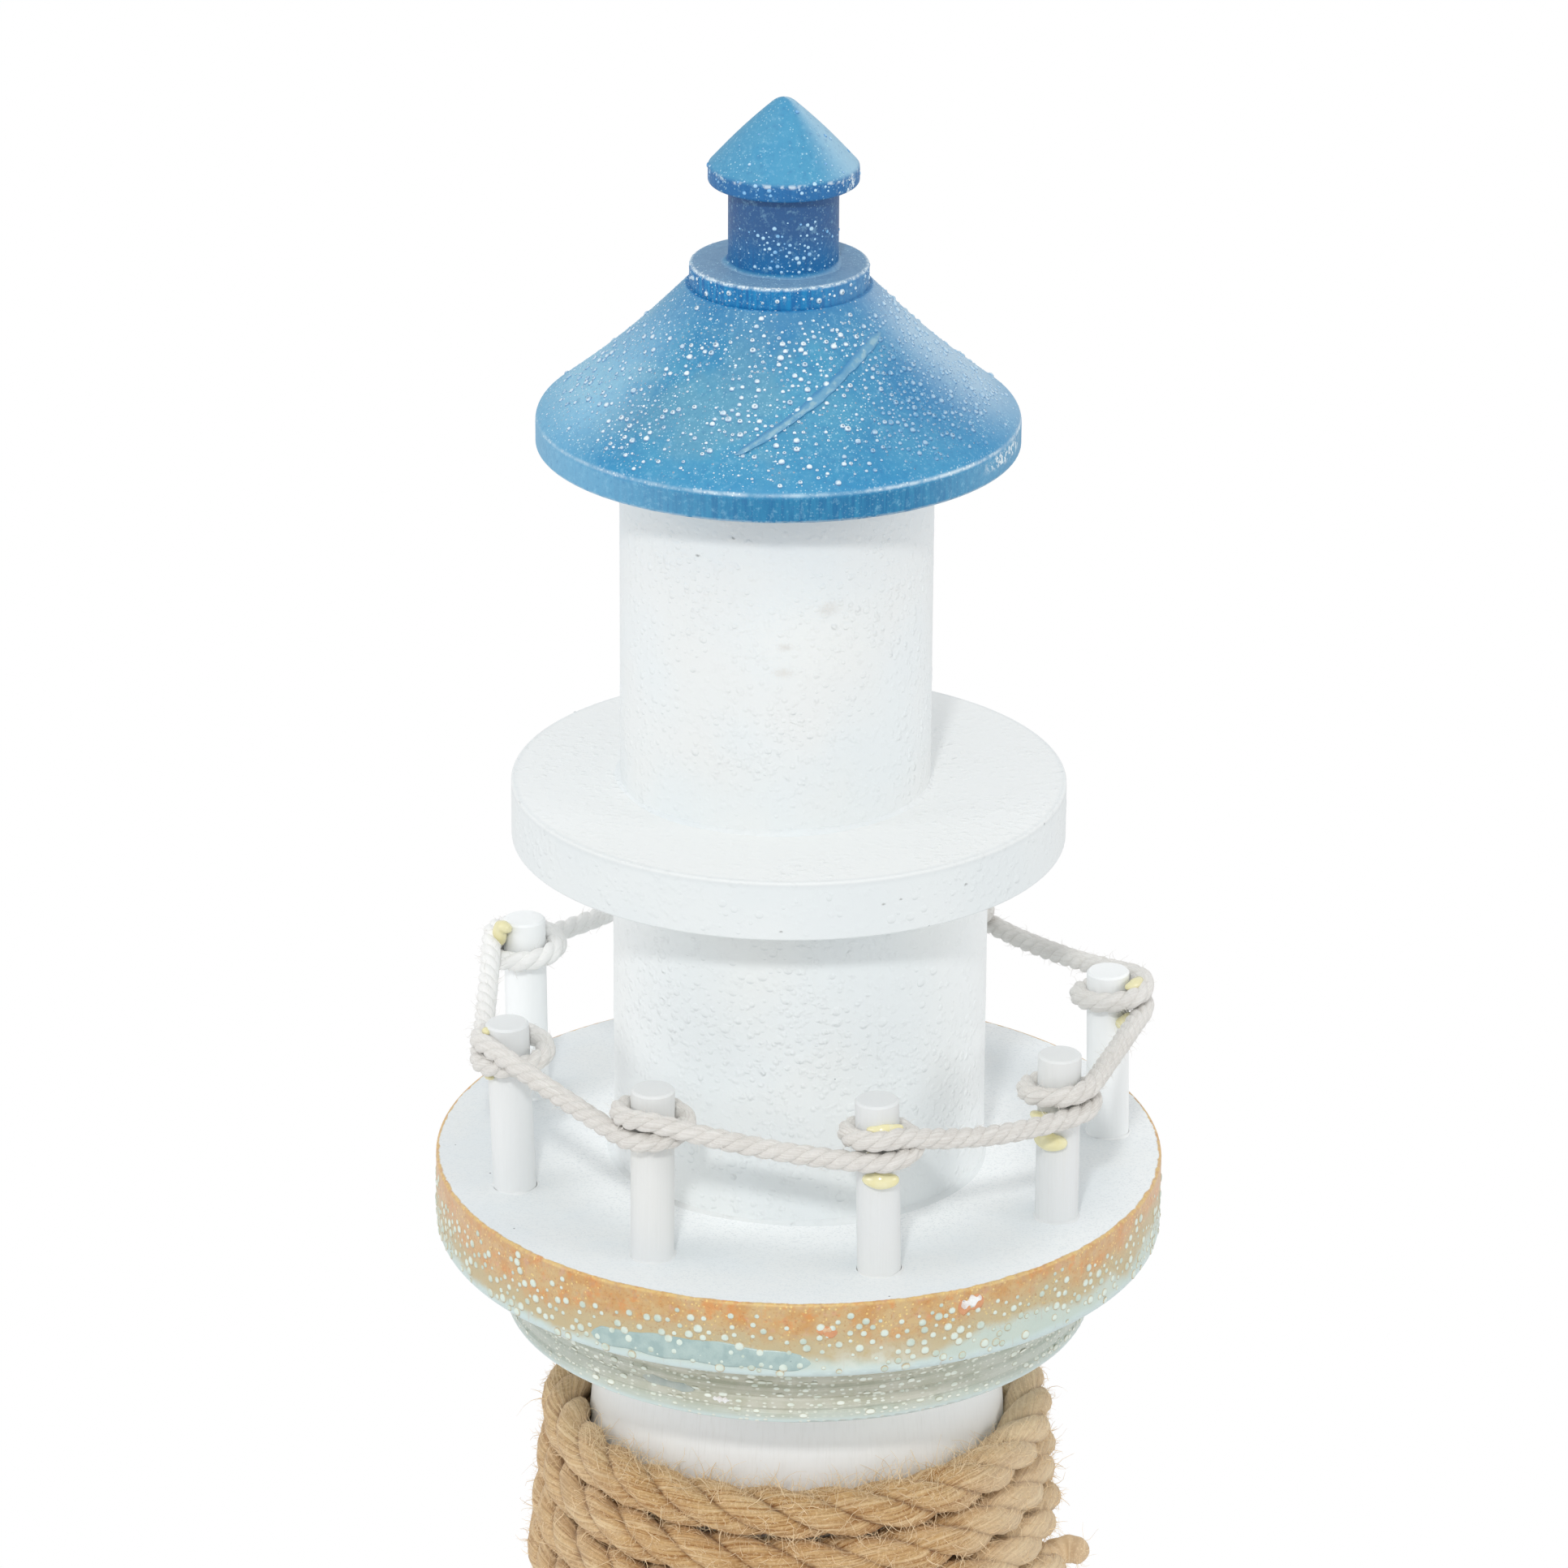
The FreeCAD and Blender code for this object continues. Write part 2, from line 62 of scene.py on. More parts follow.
# %% Read a turned piece's axis, radius, foot and top, in millimetres
def turned_size(node):
    low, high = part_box(node)
    return (low.x + high.x) / 2 / mm, (high.x - low.x) / 2 / mm, low.z / mm, high.z / mm


deck_x, deck_radius, deck_foot, deck_top = turned_size("gallery_deck")
disc_x, disc_radius, disc_foot = turned_size("gallery_step_disc")[:3]
roof_x, roof_radius, roof_foot, collar_top = turned_size("roof")
lamp_x, lamp_radius, lamp_foot, lamp_top = turned_size("lamp_room")
watch_x, watch_radius, watch_foot, watch_top = turned_size("watch_room")
upper_x, upper_radius, upper_foot, upper_top = turned_size("upper_gallery")
cap_x, cap_radius = turned_size("finial")[:2]
tower_x, tower_foot_radius, tower_foot, tower_top = turned_size("tower_body")
tower_neck_radius = 37.2
roof_ridge = roof_foot + 5.8
collar_radius = 16.2
collar_foot = collar_top - 4.0
cap_foot = collar_top + 15.0
cap_ridge = cap_foot + 3.1
print("deck radius", round(deck_radius, 2), "roof radius", round(roof_radius, 2))

# %% [markdown]
# ## Wiring nodes with plain arithmetic
# Shader and geometry trees are graphs of small nodes. Placed one by one they are hard to
# read, so two small classes help. A `Bench` is a tree with one method that adds a node from
# its type, its sockets and its settings. A `Wire` is an output socket: `+ - * /` add Math
# nodes to it, and its methods add the steps that paint needs. A formula then reads as it
# would on paper.


# %% An output socket that does arithmetic
class Wire:
    def __init__(self, bench, socket):
        self.bench = bench
        self.socket = socket

    def out(self, name):
        """Another output of the same node."""
        return Wire(self.bench, self.socket.node.outputs[name])

    def math(self, operation, *values):
        return self.bench.node("ShaderNodeMath", dict(enumerate(values)), operation=operation)

    def __add__(self, other):
        return self.math("ADD", self, other)

    def __sub__(self, other):
        return self.math("SUBTRACT", self, other)

    def __rsub__(self, other):
        return self.math("SUBTRACT", other, self)

    def __mul__(self, other):
        return self.math("MULTIPLY", self, other)

    def __truediv__(self, other):
        return self.math("DIVIDE", self, other)

    def __rtruediv__(self, other):
        return self.math("DIVIDE", other, self)

    def __pow__(self, power):
        return self.math("POWER", self, power)

    def __gt__(self, other):
        return self.math("GREATER_THAN", self, other)

    def __lt__(self, other):
        return self.math("LESS_THAN", self, other)

    def __abs__(self):
        return self.math("ABSOLUTE", self)

    __radd__ = __add__
    __rmul__ = __mul__

    def capped(self):
        return self.math("MINIMUM", self, 1.0)

    def rise(self, low, high):
        """A smooth step from 0 to 1 between two values."""
        return self.bench.node("ShaderNodeMapRange",
                               {"Value": self, "From Min": low, "From Max": high}, "Result",
                               interpolation_type="SMOOTHSTEP")

    def fall(self, low, high):
        return 1 - self.rise(low, high)

    def band(self, low, low_full, high_full, high):
        """1 between two values, with a smooth step at each."""
        return self.rise(low, low_full) * self.fall(high_full, high)

    def near(self, middle, reach):
        """1 at a value, falling smoothly to 0 at a reach on either side."""
        return abs(self - middle).fall(0.0, reach)

    def vector(self, operation, other, out="Vector"):
        return self.bench.node("ShaderNodeVectorMath", {0: self, 1: other}, out,
                               operation=operation)

    def scaled(self, factor):
        return self.bench.node("ShaderNodeVectorMath", {0: self, "Scale": factor}, "Vector",
                               operation="SCALE")

    def stretched(self, *factors):
        return self.vector("MULTIPLY", factors)

    def moved(self, *by):
        return self.vector("ADD", by)

    def parts(self):
        """The three components of a vector."""
        split = self.bench.node("ShaderNodeSeparateXYZ", {"Vector": self}, "X")
        return split, split.out("Y"), split.out("Z")

    def around_axis(self, axis_x):
        """Radius from an upright axis, angle from the front in degrees, and height."""
        x, y, z = self.parts()
        aside = x - axis_x
        radius = (aside * aside + y * y) ** 0.5
        return radius, aside.math("ARCTAN2", aside, y * -1.0) * (180 / pi), z

    def noise(self, scale, detail=2.0, roughness=0.5):
        return self.bench.node("ShaderNodeTexNoise",
                               {"Vector": self, "Scale": scale, "Detail": detail,
                                "Roughness": roughness}, "Fac")

    def cells(self, scale, scatter=1.0):
        """Distance to the nearest of many points, which lie on a grid where scatter is 0."""
        return self.bench.node("ShaderNodeTexVoronoi",
                               {"Vector": self, "Scale": scale, "Randomness": scatter},
                               "Distance")

    def mix(self, first, second):
        """A colour that goes from the first to the second as this share grows. Each is a
        wire, or red, green and blue as a screen shows them."""
        first, second = (tone if isinstance(tone, Wire) else ink(*tone)
                         for tone in (first, second))
        return self.bench.node("ShaderNodeMix", {0: self, 6: first, 7: second}, 2,
                               data_type="RGBA")

    def coats(self, *coats):
        """This colour under coats of others: each coat is a share and a tone."""
        colour = self
        for share, tone in coats:
            colour = share.mix(colour, tone)
        return colour

    def store(self, name, value, kind="FLOAT"):
        """This geometry with a value stored at every point."""
        return self.bench.node("GeometryNodeStoreNamedAttribute",
                               {"Geometry": self, "Name": name, "Value": value},
                               domain="POINT", data_type=kind)


# %% A tree with one method for every other node
class Bench:
    def __init__(self, tree):
        self.tree = tree

    def node(self, kind, sockets=None, out=0, **settings):
        made = self.tree.nodes.new(kind)
        for name, value in settings.items():
            setattr(made, name, value)
        for key, value in (sockets or {}).items():
            if isinstance(value, Wire):
                self.tree.links.new(value.socket, made.inputs[key])
            else:
                made.inputs[key].default_value = value
        return Wire(self, made.outputs[out]) if made.outputs else made

    def joined(self, x, y, z):
        return self.node("ShaderNodeCombineXYZ", {"X": x, "Y": y, "Z": z}, "Vector")

    def position(self):
        return self.node("GeometryNodeInputPosition")

    def normal(self):
        return self.node("GeometryNodeInputNormal", out="Normal")

    def painted(self, name, out="Fac"):
        """A value that the mesh stores, for a finish."""
        return self.node("ShaderNodeAttribute", out=out, attribute_name=name)

    def stored(self, name, kind="FLOAT"):
        """The same for a geometry tree."""
        return self.node("GeometryNodeInputNamedAttribute", {"Name": name}, "Attribute",
                         data_type=kind)

    def chance(self, seed, low=0.0, high=1.0):
        """A random number for every point."""
        return self.node("FunctionNodeRandomValue", {2: low, 3: high, 8: seed}, 1,
                         data_type="FLOAT")

    def seen(self):
        """1 for what the camera sees itself, in a mirror or through glass."""
        path = self.node("ShaderNodeLightPath", out="Is Camera Ray")
        return path + path.out("Is Glossy Ray") + path.out("Is Transmission Ray")


print("benches ready")

# %% [markdown]
# ## Colours as they are seen
# Paint is matched in the 0 to 255 values that a screen shows. A shader wants light,
# not screen values, so `ink` converts them wherever a mix is given three numbers.


# %% Screen values to light
def ink(red, green, blue):
    def light(value):
        share = value / 255
        return share / 12.92 if share <= 0.04045 else ((share + 0.055) / 1.055) ** 2.4
    return (light(red), light(green), light(blue), 1.0)


print("white as light:", ink(255, 255, 255))

# %% [markdown]
# ## One way to start and end every finish
# Each finish reads the Object coordinates, scaled to millimetres, because every piece sits
# at the origin and its paint can then be placed by real sizes. Each ends in a Principled
# shader. Its height is written in millimetres too and goes through a Bump node.


# %% Start and end of a finish
def new_finish(name):
    """The place in millimetres, from which a finish is built."""
    finish = bpy.data.materials.new(name)
    finish.use_nodes = True
    finish.node_tree.nodes.clear()
    bench = Bench(finish.node_tree)
    bench.finish = finish
    return bench.node("ShaderNodeTexCoord", out="Object").stretched(1 / mm, 1 / mm, 1 / mm)


def end_finish(colour, roughness, height, specular=0.5, constants=None):
    """Colour, roughness and height (in mm) may vary. The rest doesn't."""
    bench = colour.bench
    raised = bench.node("ShaderNodeBump",
                        {"Strength": 1.0, "Distance": mm, "Height": height}, "Normal")
    shader = bench.node("ShaderNodeBsdfPrincipled",
                        {"Base Color": colour, "Roughness": roughness, "Normal": raised,
                         "Specular IOR Level": specular, **(constants or {})}, "BSDF")
    bench.node("ShaderNodeOutputMaterial", {"Surface": shader})
    return bench.finish


# %% [markdown]
# ## White paint on turned wood
# The rooms and the upper gallery are sprayed with a thick chalky white. It dries with an
# orange-peel skin that is strong in some patches and smooth in others, with a few specks of
# dust. A flat white would look like plastic, so the skin is a noise of about one
# millimetre, faded in and out by a much wider one. The tower and the posts are painted
# thinner and let the upright grain through.


# %% White paint
def white_paint(name, pale, warm, peel, grain, axis_x, sides, top=None, marks=()):
    """peel and grain are the heights of the skin and of the wood grain, in mm. sides is the
    share of a paler white painted at the left and the right as painted light, and the angles
    where it starts and is full. top is the level and the radius of an upper face painted a
    lighter white as painted light, with a painted shade on its eased edge. marks are small
    stains: (angle, height, reach in mm, colour)."""
    place = new_finish(name)
    radius, turn, level = place.around_axis(axis_x)
    patches = place.noise(0.045, 3.0).rise(0.42, 0.62)
    fibre = place.stretched(2.2, 2.2, 0.035).noise(1.0, 3.0, 0.6)
    pimples = place.cells(0.52).fall(0.10, 0.38)
    skin = place.noise(0.62, 2.0, 0.45).rise(0.50, 0.74) * 0.55 + pimples * 0.55
    fine = place.noise(2.6)
    tint = place.moved(31.0, 7.0, 12.0).noise(0.03).rise(0.40, 0.66).mix(pale, warm)
    if top:
        top_level, top_radius = top
        on_top = level.rise(top_level - 0.8, top_level - 0.1)
        grit = place.cells(1.3).fall(0.10, 0.26)
        eased = level.near(top_level - 0.6, 1.0) * radius.near(top_radius - 0.5, 1.0)
        # Painted light: the upper face gets a lighter white, and a painted shade darkens its
        # eased edge
        tint = tint.coats((on_top, (239, 240, 238)),
                          (grit * on_top * patches * 0.5, (214, 218, 219)),
                          (eased * 0.9, (212, 217, 218)))
    side_share, side_from, side_full = sides
    dust = (place.cells(0.085) < 0.021) * (place.noise(0.09) > 0.5)
    tint = tint.coats(
        (fibre.rise(0.45, 0.85) * (0.6 * min(1.0, grain * 12)), (221, 221, 217)),
        # Painted shade on the lower side of each lump
        (place.bench.painted("low").rise(0.2, 0.8) * 0.55, (203, 208, 209)),
        (dust * 0.75, (120, 124, 128)),
        # Painted light: a paler white towards the left and the right
        (abs(turn).rise(side_from, side_full) * side_share, (252, 254, 254)))
    broader = 0.6
    for mark_turn, mark_level, reach, mark_tone in marks:
        arc = abs(turn - mark_turn) * radius * (pi / 180) * broader
        away = (arc ** 2 + (level - mark_level) ** 2) ** 0.5 + (fine - 0.5) * reach
        tint = tint.coats((away.fall(0.0, reach) * 0.8, mark_tone))
    height = skin * (patches * 0.5 + 0.5) * peel + fine * (peel * 0.12) + fibre * grain
    return end_finish(tint, 0.52 + fine * 0.12, height, 0.35)


dirt, scuff, rust_stain = (140, 140, 138), (219, 218, 214), (234, 236, 234)
# Each piece's white is set to its own level as painted shade and painted light: darker on the
# lamp room, the upper gallery and the posts, lighter on the tower.
room_white = white_paint("room_white", (230, 235, 236), (233, 236, 235), 0.26, 0.012,
                         watch_x, (0.8, 30.0, 80.0))
lamp_white = white_paint(
    "lamp_white", (227, 232, 233), (230, 232, 231), 0.25, 0.012, lamp_x, (0.3, 30.0, 80.0),
    None,
    ((-15.7, 526.5, 0.36, dirt), (8.7, 510.5, 0.32, dirt), (-29.3, 522.2, 0.4, dirt),
     (12.0, 508.0, 12.0, rust_stain), (19.3, 512.9, 1.9, scuff), (3.3, 506.1, 1.2, scuff),
     (2.6, 501.2, 1.5, scuff)))
gallery_white = white_paint(
    "gallery_white", (223, 228, 229), (226, 230, 230), 0.16, 0.006, upper_x,
    (0.25, 40.0, 80.0), (upper_top, upper_radius),
    ((19.4, 464.7, 0.34, dirt), (-1.5, 460.5, 0.3, dirt), (23.1, 465.2, 0.3, dirt),
     (38.4, 465.2, 0.34, dirt)))
grain_white = white_paint("grain_white", (242, 243, 243), (243, 244, 242), 0.02, 0.05,
                          tower_x, (0.6, 30.0, 80.0))
post_white = white_paint("post_white", (223, 225, 225), (226, 227, 225), 0.04, 0.05,
                         deck_x, (0.9, 50.0, 108.0))
print("white paints made")

# %% [markdown]
# ## Blue paint of the roof and its cap
# The roof is brushed blue over a darker blue: the upright rims stay dark and rich, the
# slopes are chalky, and the neck under the cap is almost violet. White primer shows where
# an edge was rubbed, a painted highlight with glints runs along the rim's upper edge, a
# painted sheen lies at the far right and a painted highlight on the right of the cap, and a
# fine white speckle over the front. The finish reads the radius, the angle and the height,
# so each turned feature gets its own tone.


# %% Blue paint
def not_behind(angle):
    """1 over the front and the sides and 0 straight behind, where the angle jumps."""
    gone, full = 172.0, 125.0
    return abs(angle).rise(gone, full)


def roof_painted_sheen(angle, height):
    """A painted sheen over the far right of the slope, which leans back with the height."""
    return (angle + (height - roof_ridge) * 0.5).rise(56.0, 94.0) * not_behind(angle)


def blue_paint():
    place = new_finish("blue_paint")
    radius, angle, height = place.around_axis(roof_x)
    cap_r, cap_angle, _ = place.around_axis(cap_x)
    front = not_behind(angle)
    grit = place.noise(1.5, 3.0, 0.65)
    mottle = place.noise(0.9, 4.0, 0.7)
    streak = place.stretched(1.4, 1.4, 0.12).noise(1.0, 3.0, 0.6)
    chalk = place.noise(0.07, 3.0, 0.6).rise(0.48, 0.60) * angle.fall(0.0, 30.0) * front
    on_cap = height.rise(collar_top, collar_top + 1.0)
    pale_left = (angle.rise(-40.0, -68.0) * front
                 * height.rise(roof_ridge + 36.0, roof_ridge + 2.0))
    slope = place.noise(0.05, 3.0, 0.55).rise(0.35, 0.65).mix(
        (42, 128, 176), (76, 152, 187)).coats(
        (place.noise(0.16, 4.0, 0.6).rise(0.5, 0.8) * 0.5, (70, 164, 196)),
        (angle.rise(15.0, 70.0) * front * 0.6, (72, 134, 182)),
        (chalk * 0.45, (106, 156, 178)),
        # Painted sheen at the far right of the slope
        (roof_painted_sheen(angle, height) * (1 - on_cap) * 0.85, (182, 209, 227)),
        (on_cap * 0.65, (72, 152, 192)),
        # Painted highlight on the right of the cap and its neck
        (on_cap * cap_angle.rise(25.0, 72.0) * front * 0.55, (190, 220, 234)),
        (pale_left * 0.62, (164, 212, 234)),
        (height.rise(collar_foot - 8, collar_foot) * 0.5 * (1 - on_cap), (58, 124, 176)),
        (height.fall(roof_ridge - 1.0, roof_ridge + 7.0) * 0.55, (48, 142, 190)))
    rim_sides = (angle.rise(0.0, -62.0) * 0.8 + angle.rise(26.0, 62.0) * 0.48) * front
    rim = streak.rise(0.3, 0.7).mix((18, 104, 152), (40, 128, 170)).coats(
        (rim_sides, (118, 178, 212)))
    on_rim = height.fall(roof_ridge - 1.6, roof_ridge - 0.4)
    collar = streak.rise(0.3, 0.7).mix((0, 100, 162), (8, 132, 188)).coats(
        (angle.rise(10.0, 60.0) * front * 0.6, (84, 138, 182)))
    on_collar = height.band(collar_foot - 0.4, collar_foot + 0.1,
                            collar_top - 0.5, collar_top - 0.1)
    flat_top = height.band(collar_top - 0.3, collar_top, collar_top, collar_top + 0.4)
    neck = height.rise(collar_top + 1, collar_top + 9).mix((6, 104, 162), (42, 88, 138)).coats(
        (streak.rise(0.4, 0.8) * 0.5, (36, 78, 132)))
    on_neck = height.band(collar_top + 0.2, collar_top + 0.8, cap_foot - 0.2, cap_foot)
    cap_side = height.band(cap_foot - 0.1, cap_foot + 0.1, cap_ridge - 0.5, cap_ridge + 0.6)
    colour = slope.coats((on_rim, rim), (on_collar, collar), (flat_top, (118, 158, 190)),
                         (on_neck, neck),
                         (cap_side, streak.mix((12, 84, 144), (36, 116, 174))))

    # Primer rubbed free on edges, in broken lines, and a painted highlight with glints along the
    # rim's upper edge
    pale_share = place.noise(0.8, 3.0).rise(0.36, 0.52)
    soft_patchiness = place.noise(0.16, 3.0).rise(0.34, 0.66)
    collar_line = (height.near(collar_top - 0.1, 0.65) * radius.near(collar_radius - 0.1, 0.75)
                   * (place.noise(2.4).rise(0.40, 0.58) * 0.7 + 0.3))
    # Painted highlight along the rim's upper edge, broken up by noise
    ridge_line = (height.near(roof_ridge - 0.6, 0.55) * (soft_patchiness * 0.9 + 0.3)
                  * (pale_share * 0.5 + 0.5)
                  * (angle.rise(-60.0, 10.0) * 0.4 + angle.rise(-110.0, -60.0) * 0.6) * front)
    foot_line = height.near(roof_foot + 0.2, 0.5) * pale_share * 0.35
    cap_line = height.near(cap_ridge - 0.2, 0.6) * place.noise(0.7, 3.0).rise(0.5, 0.62) * 0.7
    glint = height.near(roof_ridge - 0.5, 1.3) * soft_patchiness * place.cells(1.3).fall(0.10, 0.30)
    chipped = place.noise(0.75, 3.0, 0.7).rise(0.50, 0.56)
    roof_chip = (angle.near(68.0, 14.0) * height.near(roof_foot + 3.4, 1.8)
                 * (radius > roof_radius - 2.5) * chipped)
    cap_chip = (cap_angle.near(57.0, 16.0) * height.near(cap_ridge - 1.8, 2.2)
                * (cap_r > cap_radius - 2.0) * chipped)
    rubbed_and_highlight = (collar_line * (pale_share * 0.8 + 0.3) + ridge_line * 0.65 + glint * 0.8
              + foot_line + cap_line + (roof_chip + cap_chip) * 2.2).capped()

    # Fine white speckle, dense on the front and near the rims
    thick = place.noise(0.11).rise(0.36, 0.60)
    speck = (place.cells(0.8).fall(0.10, 0.17) * (thick * 0.7 + 0.2)
             + place.moved(5.3, 1.7, 9.1).cells(1.5).fall(0.13, 0.25) * (thick * 0.55 + 0.2))
    speck = speck * (1 - on_rim * 0.75) * (1 - (on_neck + on_collar) * 0.6)
    colour = colour.coats((rubbed_and_highlight, (222, 236, 242)), (speck * 0.85, (182, 224, 240)),
                          (mottle.rise(0.52, 0.70) * 0.30, (150, 200, 224)),
                          (mottle.rise(0.46, 0.30) * 0.35, (52, 112, 164)))
    relief = grit * 0.07 + mottle * 0.10 + speck * 0.05 - rubbed_and_highlight * 0.04 + streak * 0.02
    return end_finish(colour, 0.46 + grit * 0.16, relief, 0.4)


roof_blue = blue_paint()
print("blue paint made")

# %% [markdown]
# ## Rust and mint on the deck's rim
# The deck's top is white, and its rim is painted to look like old glazed metal: rust-orange
# with a thin gold line at the upper edge, fading through olive into a mint green foot. The
# boundary wanders, so the height is shifted by two noises before the tones are chosen. The
# plinth of the base wears the same paint.


# %% Rim paint
def chalk_top(place, radius, angle):
    """The white of the deck's upper face and the height of its skin."""
    # Painted light: a purer white near the rooms, where the deck lies in their shade, and near
    # the outer rim at the right
    painted_light_on_deck = (radius.rise(53.0, 38.0) * 0.9
             + radius.rise(54.0, 66.0) * angle.rise(25.0, 52.0) * not_behind(angle) * 0.5)
    grain = place.stretched(0.35, 2.4, 1.0).noise(1.0, 4.0, 0.6)
    grit = place.cells(1.2).fall(0.10, 0.26) * place.noise(0.07).rise(0.35, 0.6)
    dust = (place.cells(0.11) < 0.022) * (place.noise(0.1) > 0.5)
    chalk = place.noise(0.06, 3.0).rise(0.35, 0.65).mix(
        (227, 232, 234), (231, 234, 234)).coats(
        (painted_light_on_deck, (253, 255, 255)), (grain.rise(0.55, 0.75) * 0.35, (220, 226, 228)),
        (grit * 0.5, (206, 212, 216)),
        (place.noise(2.4).rise(0.50, 0.66) * 0.35, (214, 220, 223)),
        (dust * 0.8, (104, 106, 116)))
    return chalk, place.noise(1.6, 3.0) * 0.06 + grain * 0.03


def rim_paint(name, node, white_top):
    axis_x, rim_radius, foot, top = turned_size(node)
    place = new_finish(name)
    radius, angle, height = place.around_axis(axis_x)
    level = (height - foot) / (top - foot)
    wander = place.noise(0.05, 3.0, 0.55) - 0.5
    ragged = place.noise(0.35, 3.0, 0.6) - 0.5
    to_the_right = angle.rise(4.0, 34.0) * not_behind(angle)
    shifted = level + wander * 0.9 + ragged * 0.16 - to_the_right * 0.14
    elsewhere = place.moved(17.0, 5.0, 23.0)
    rust = place.noise(0.22, 4.0, 0.65).rise(0.35, 0.65).mix(
        (200, 152, 94), (204, 176, 128)).coats(
        (place.noise(0.5).rise(0.58, 0.72) * 0.5, (208, 160, 136)),
        (elsewhere.noise(0.3, 4.0, 0.7).rise(0.50, 0.66) * 0.6, (218, 142, 74)),
        (elsewhere.noise(0.65, 3.0, 0.6).rise(0.46, 0.34) * 0.4, (186, 150, 122)),
        (abs(angle).rise(34.0, 72.0) * 0.35, (216, 172, 138)))
    olive = place.noise(0.3, 3.0).mix((198, 178, 134), (188, 176, 144))
    mint = place.noise(0.12, 3.0).mix((182, 200, 192), (208, 216, 204))
    milky = angle.near(11.0, 14.0) * level.fall(0.15, 0.55) * ragged.rise(-0.2, 0.15)
    gold_spots = (place.cells(1.1).fall(0.12, 0.30)
                  * (level.rise(0.3, 0.75) * place.noise(0.14).rise(0.32, 0.52)))
    flecks = place.noise(1.5, 3.0, 0.7).rise(0.55, 0.68) * level.rise(0.2, 0.6)
    gold_edge = level.rise(0.95, 0.99) * place.noise(0.9).rise(0.3, 0.6)
    drips = place.stretched(0.9, 0.9, 0.1).noise(1.0).rise(0.62, 0.8)
    colour = shifted.rise(0.16, 0.34).mix(mint, olive).coats(
        (shifted.rise(0.40, 0.72), rust), (milky * 0.8, (218, 226, 218)),
        # Painted highlight: a pale line along the rounded lower edge
        ((level + ragged * 0.1).fall(0.04, 0.20) * 0.85, (204, 221, 222)),
        (gold_spots * 0.75, (240, 214, 138)), (flecks * 0.5, (172, 120, 74)),
        (gold_edge * 0.55, (228, 200, 130)), (drips * 0.35, (190, 160, 140)))
    wet = 0.30 + place.noise(0.6) * 0.2
    skin = place.noise(0.45, 3.0, 0.55) * 0.16 + place.noise(2.2) * 0.03
    if white_top:
        on_top = (height.rise(top - 0.45, top - 0.12)
                  * (radius + ragged * 1.1).fall(rim_radius - 0.75, rim_radius - 0.45))
        chalk, chalk_skin = chalk_top(place, radius, angle)
        colour = colour.coats((on_top, chalk))
        wet = wet * (1 - on_top) + on_top * 0.58
        skin = skin * (1 - on_top) + chalk_skin * on_top
    return end_finish(colour, wet, skin)


deck_finish = rim_paint("deck_rim_paint", "gallery_deck", True)
plinth_finish = rim_paint("plinth_rim_paint", "base_plinth", False)
print("rim paints made")

# %% [markdown]
# ## Olive and mint on the step disc
# The smaller disc under the deck keeps the lathe's grooves. Its olive-grey paint is thin on
# the crests, so pale lines and rows of dashes run round it, and its foot is mint like the
# deck's.


# %% Step paint
def step_paint(name, node):
    _, _, foot, top = turned_size(node)
    place = new_finish(name)
    radius, angle, height = place.around_axis(0.0)
    level = (height - foot) / (top - foot)
    wander = place.noise(0.07, 3.0) - 0.5
    joined = place.bench.joined
    rings = joined(radius * 0.02, angle * 0.006, height * 1.5).noise(1.0, 3.0, 0.6)
    dash = joined(angle * 0.62, 0.0, height * 1.1).cells(1.0, 0.4).fall(0.16, 0.34)
    dash = dash * (place.noise(0.13).rise(0.34, 0.52) * 0.75 + 0.25)
    dash = dash * height.fall(top - 0.25, top - 0.05)
    colour = place.noise(0.2, 4.0, 0.6).rise(0.35, 0.65).mix(
        (182, 182, 162), (199, 197, 182)).coats(
        (rings.rise(0.52, 0.70) * 0.5, (216, 212, 200)),
        (rings.rise(0.50, 0.30) * 0.45, (158, 150, 124)),
        (abs(angle).rise(15.0, 60.0) * 0.45, (196, 210, 206)),
        ((level + wander * 0.3).fall(0.04, 0.24) * 0.7, (196, 208, 200)),
        # Painted highlight: a pale line along the rounded lower edge
        (level.fall(0.02, 0.10) * 0.7, (206, 222, 224)), (dash * 0.9, (232, 234, 222)))
    skin = rings * 0.12 + place.noise(0.8) * 0.08 + dash * 0.10
    return end_finish(colour, 0.34 + rings * 0.12, skin)


disc_finish = step_paint("step_disc_paint", "gallery_step_disc")
base_step_finish = step_paint("base_step_paint", "base_step")
print("step paints made")

# %% [markdown]
# ## What is hidden: felt, steel and bare wood
# The felt under the plinth is a mat of short fibres, the screws are plain steel with turning
# marks, and the joining pins are bare beech with long grain. They are seen only when the
# figurine is taken apart, but a solid without a finish would look unfinished there.


# %% Felt, steel and bare wood
def felt():
    place = new_finish("green_felt")
    hairs = place.stretched(3.0, 0.8, 1.5).noise(1.0, 4.0, 0.7)
    crossed = place.stretched(0.8, 3.0, 1.5).noise(1.0, 4.0, 0.7)
    colour = (hairs * crossed * 2.0).mix((38, 62, 50), (86, 112, 92))
    return end_finish(colour, 0.92 + hairs * 0.05, hairs * 0.2 + crossed * 0.2,
                      constants={"Sheen Weight": 0.4})


def screw_steel():
    turned = new_finish("screw_steel").stretched(0.4, 0.4, 7.0).noise(1.0, 3.0)
    return end_finish(turned.mix((150, 150, 146), (196, 194, 186)), 0.28 + turned * 0.2,
                      turned * 0.02, constants={"Metallic": 1.0})


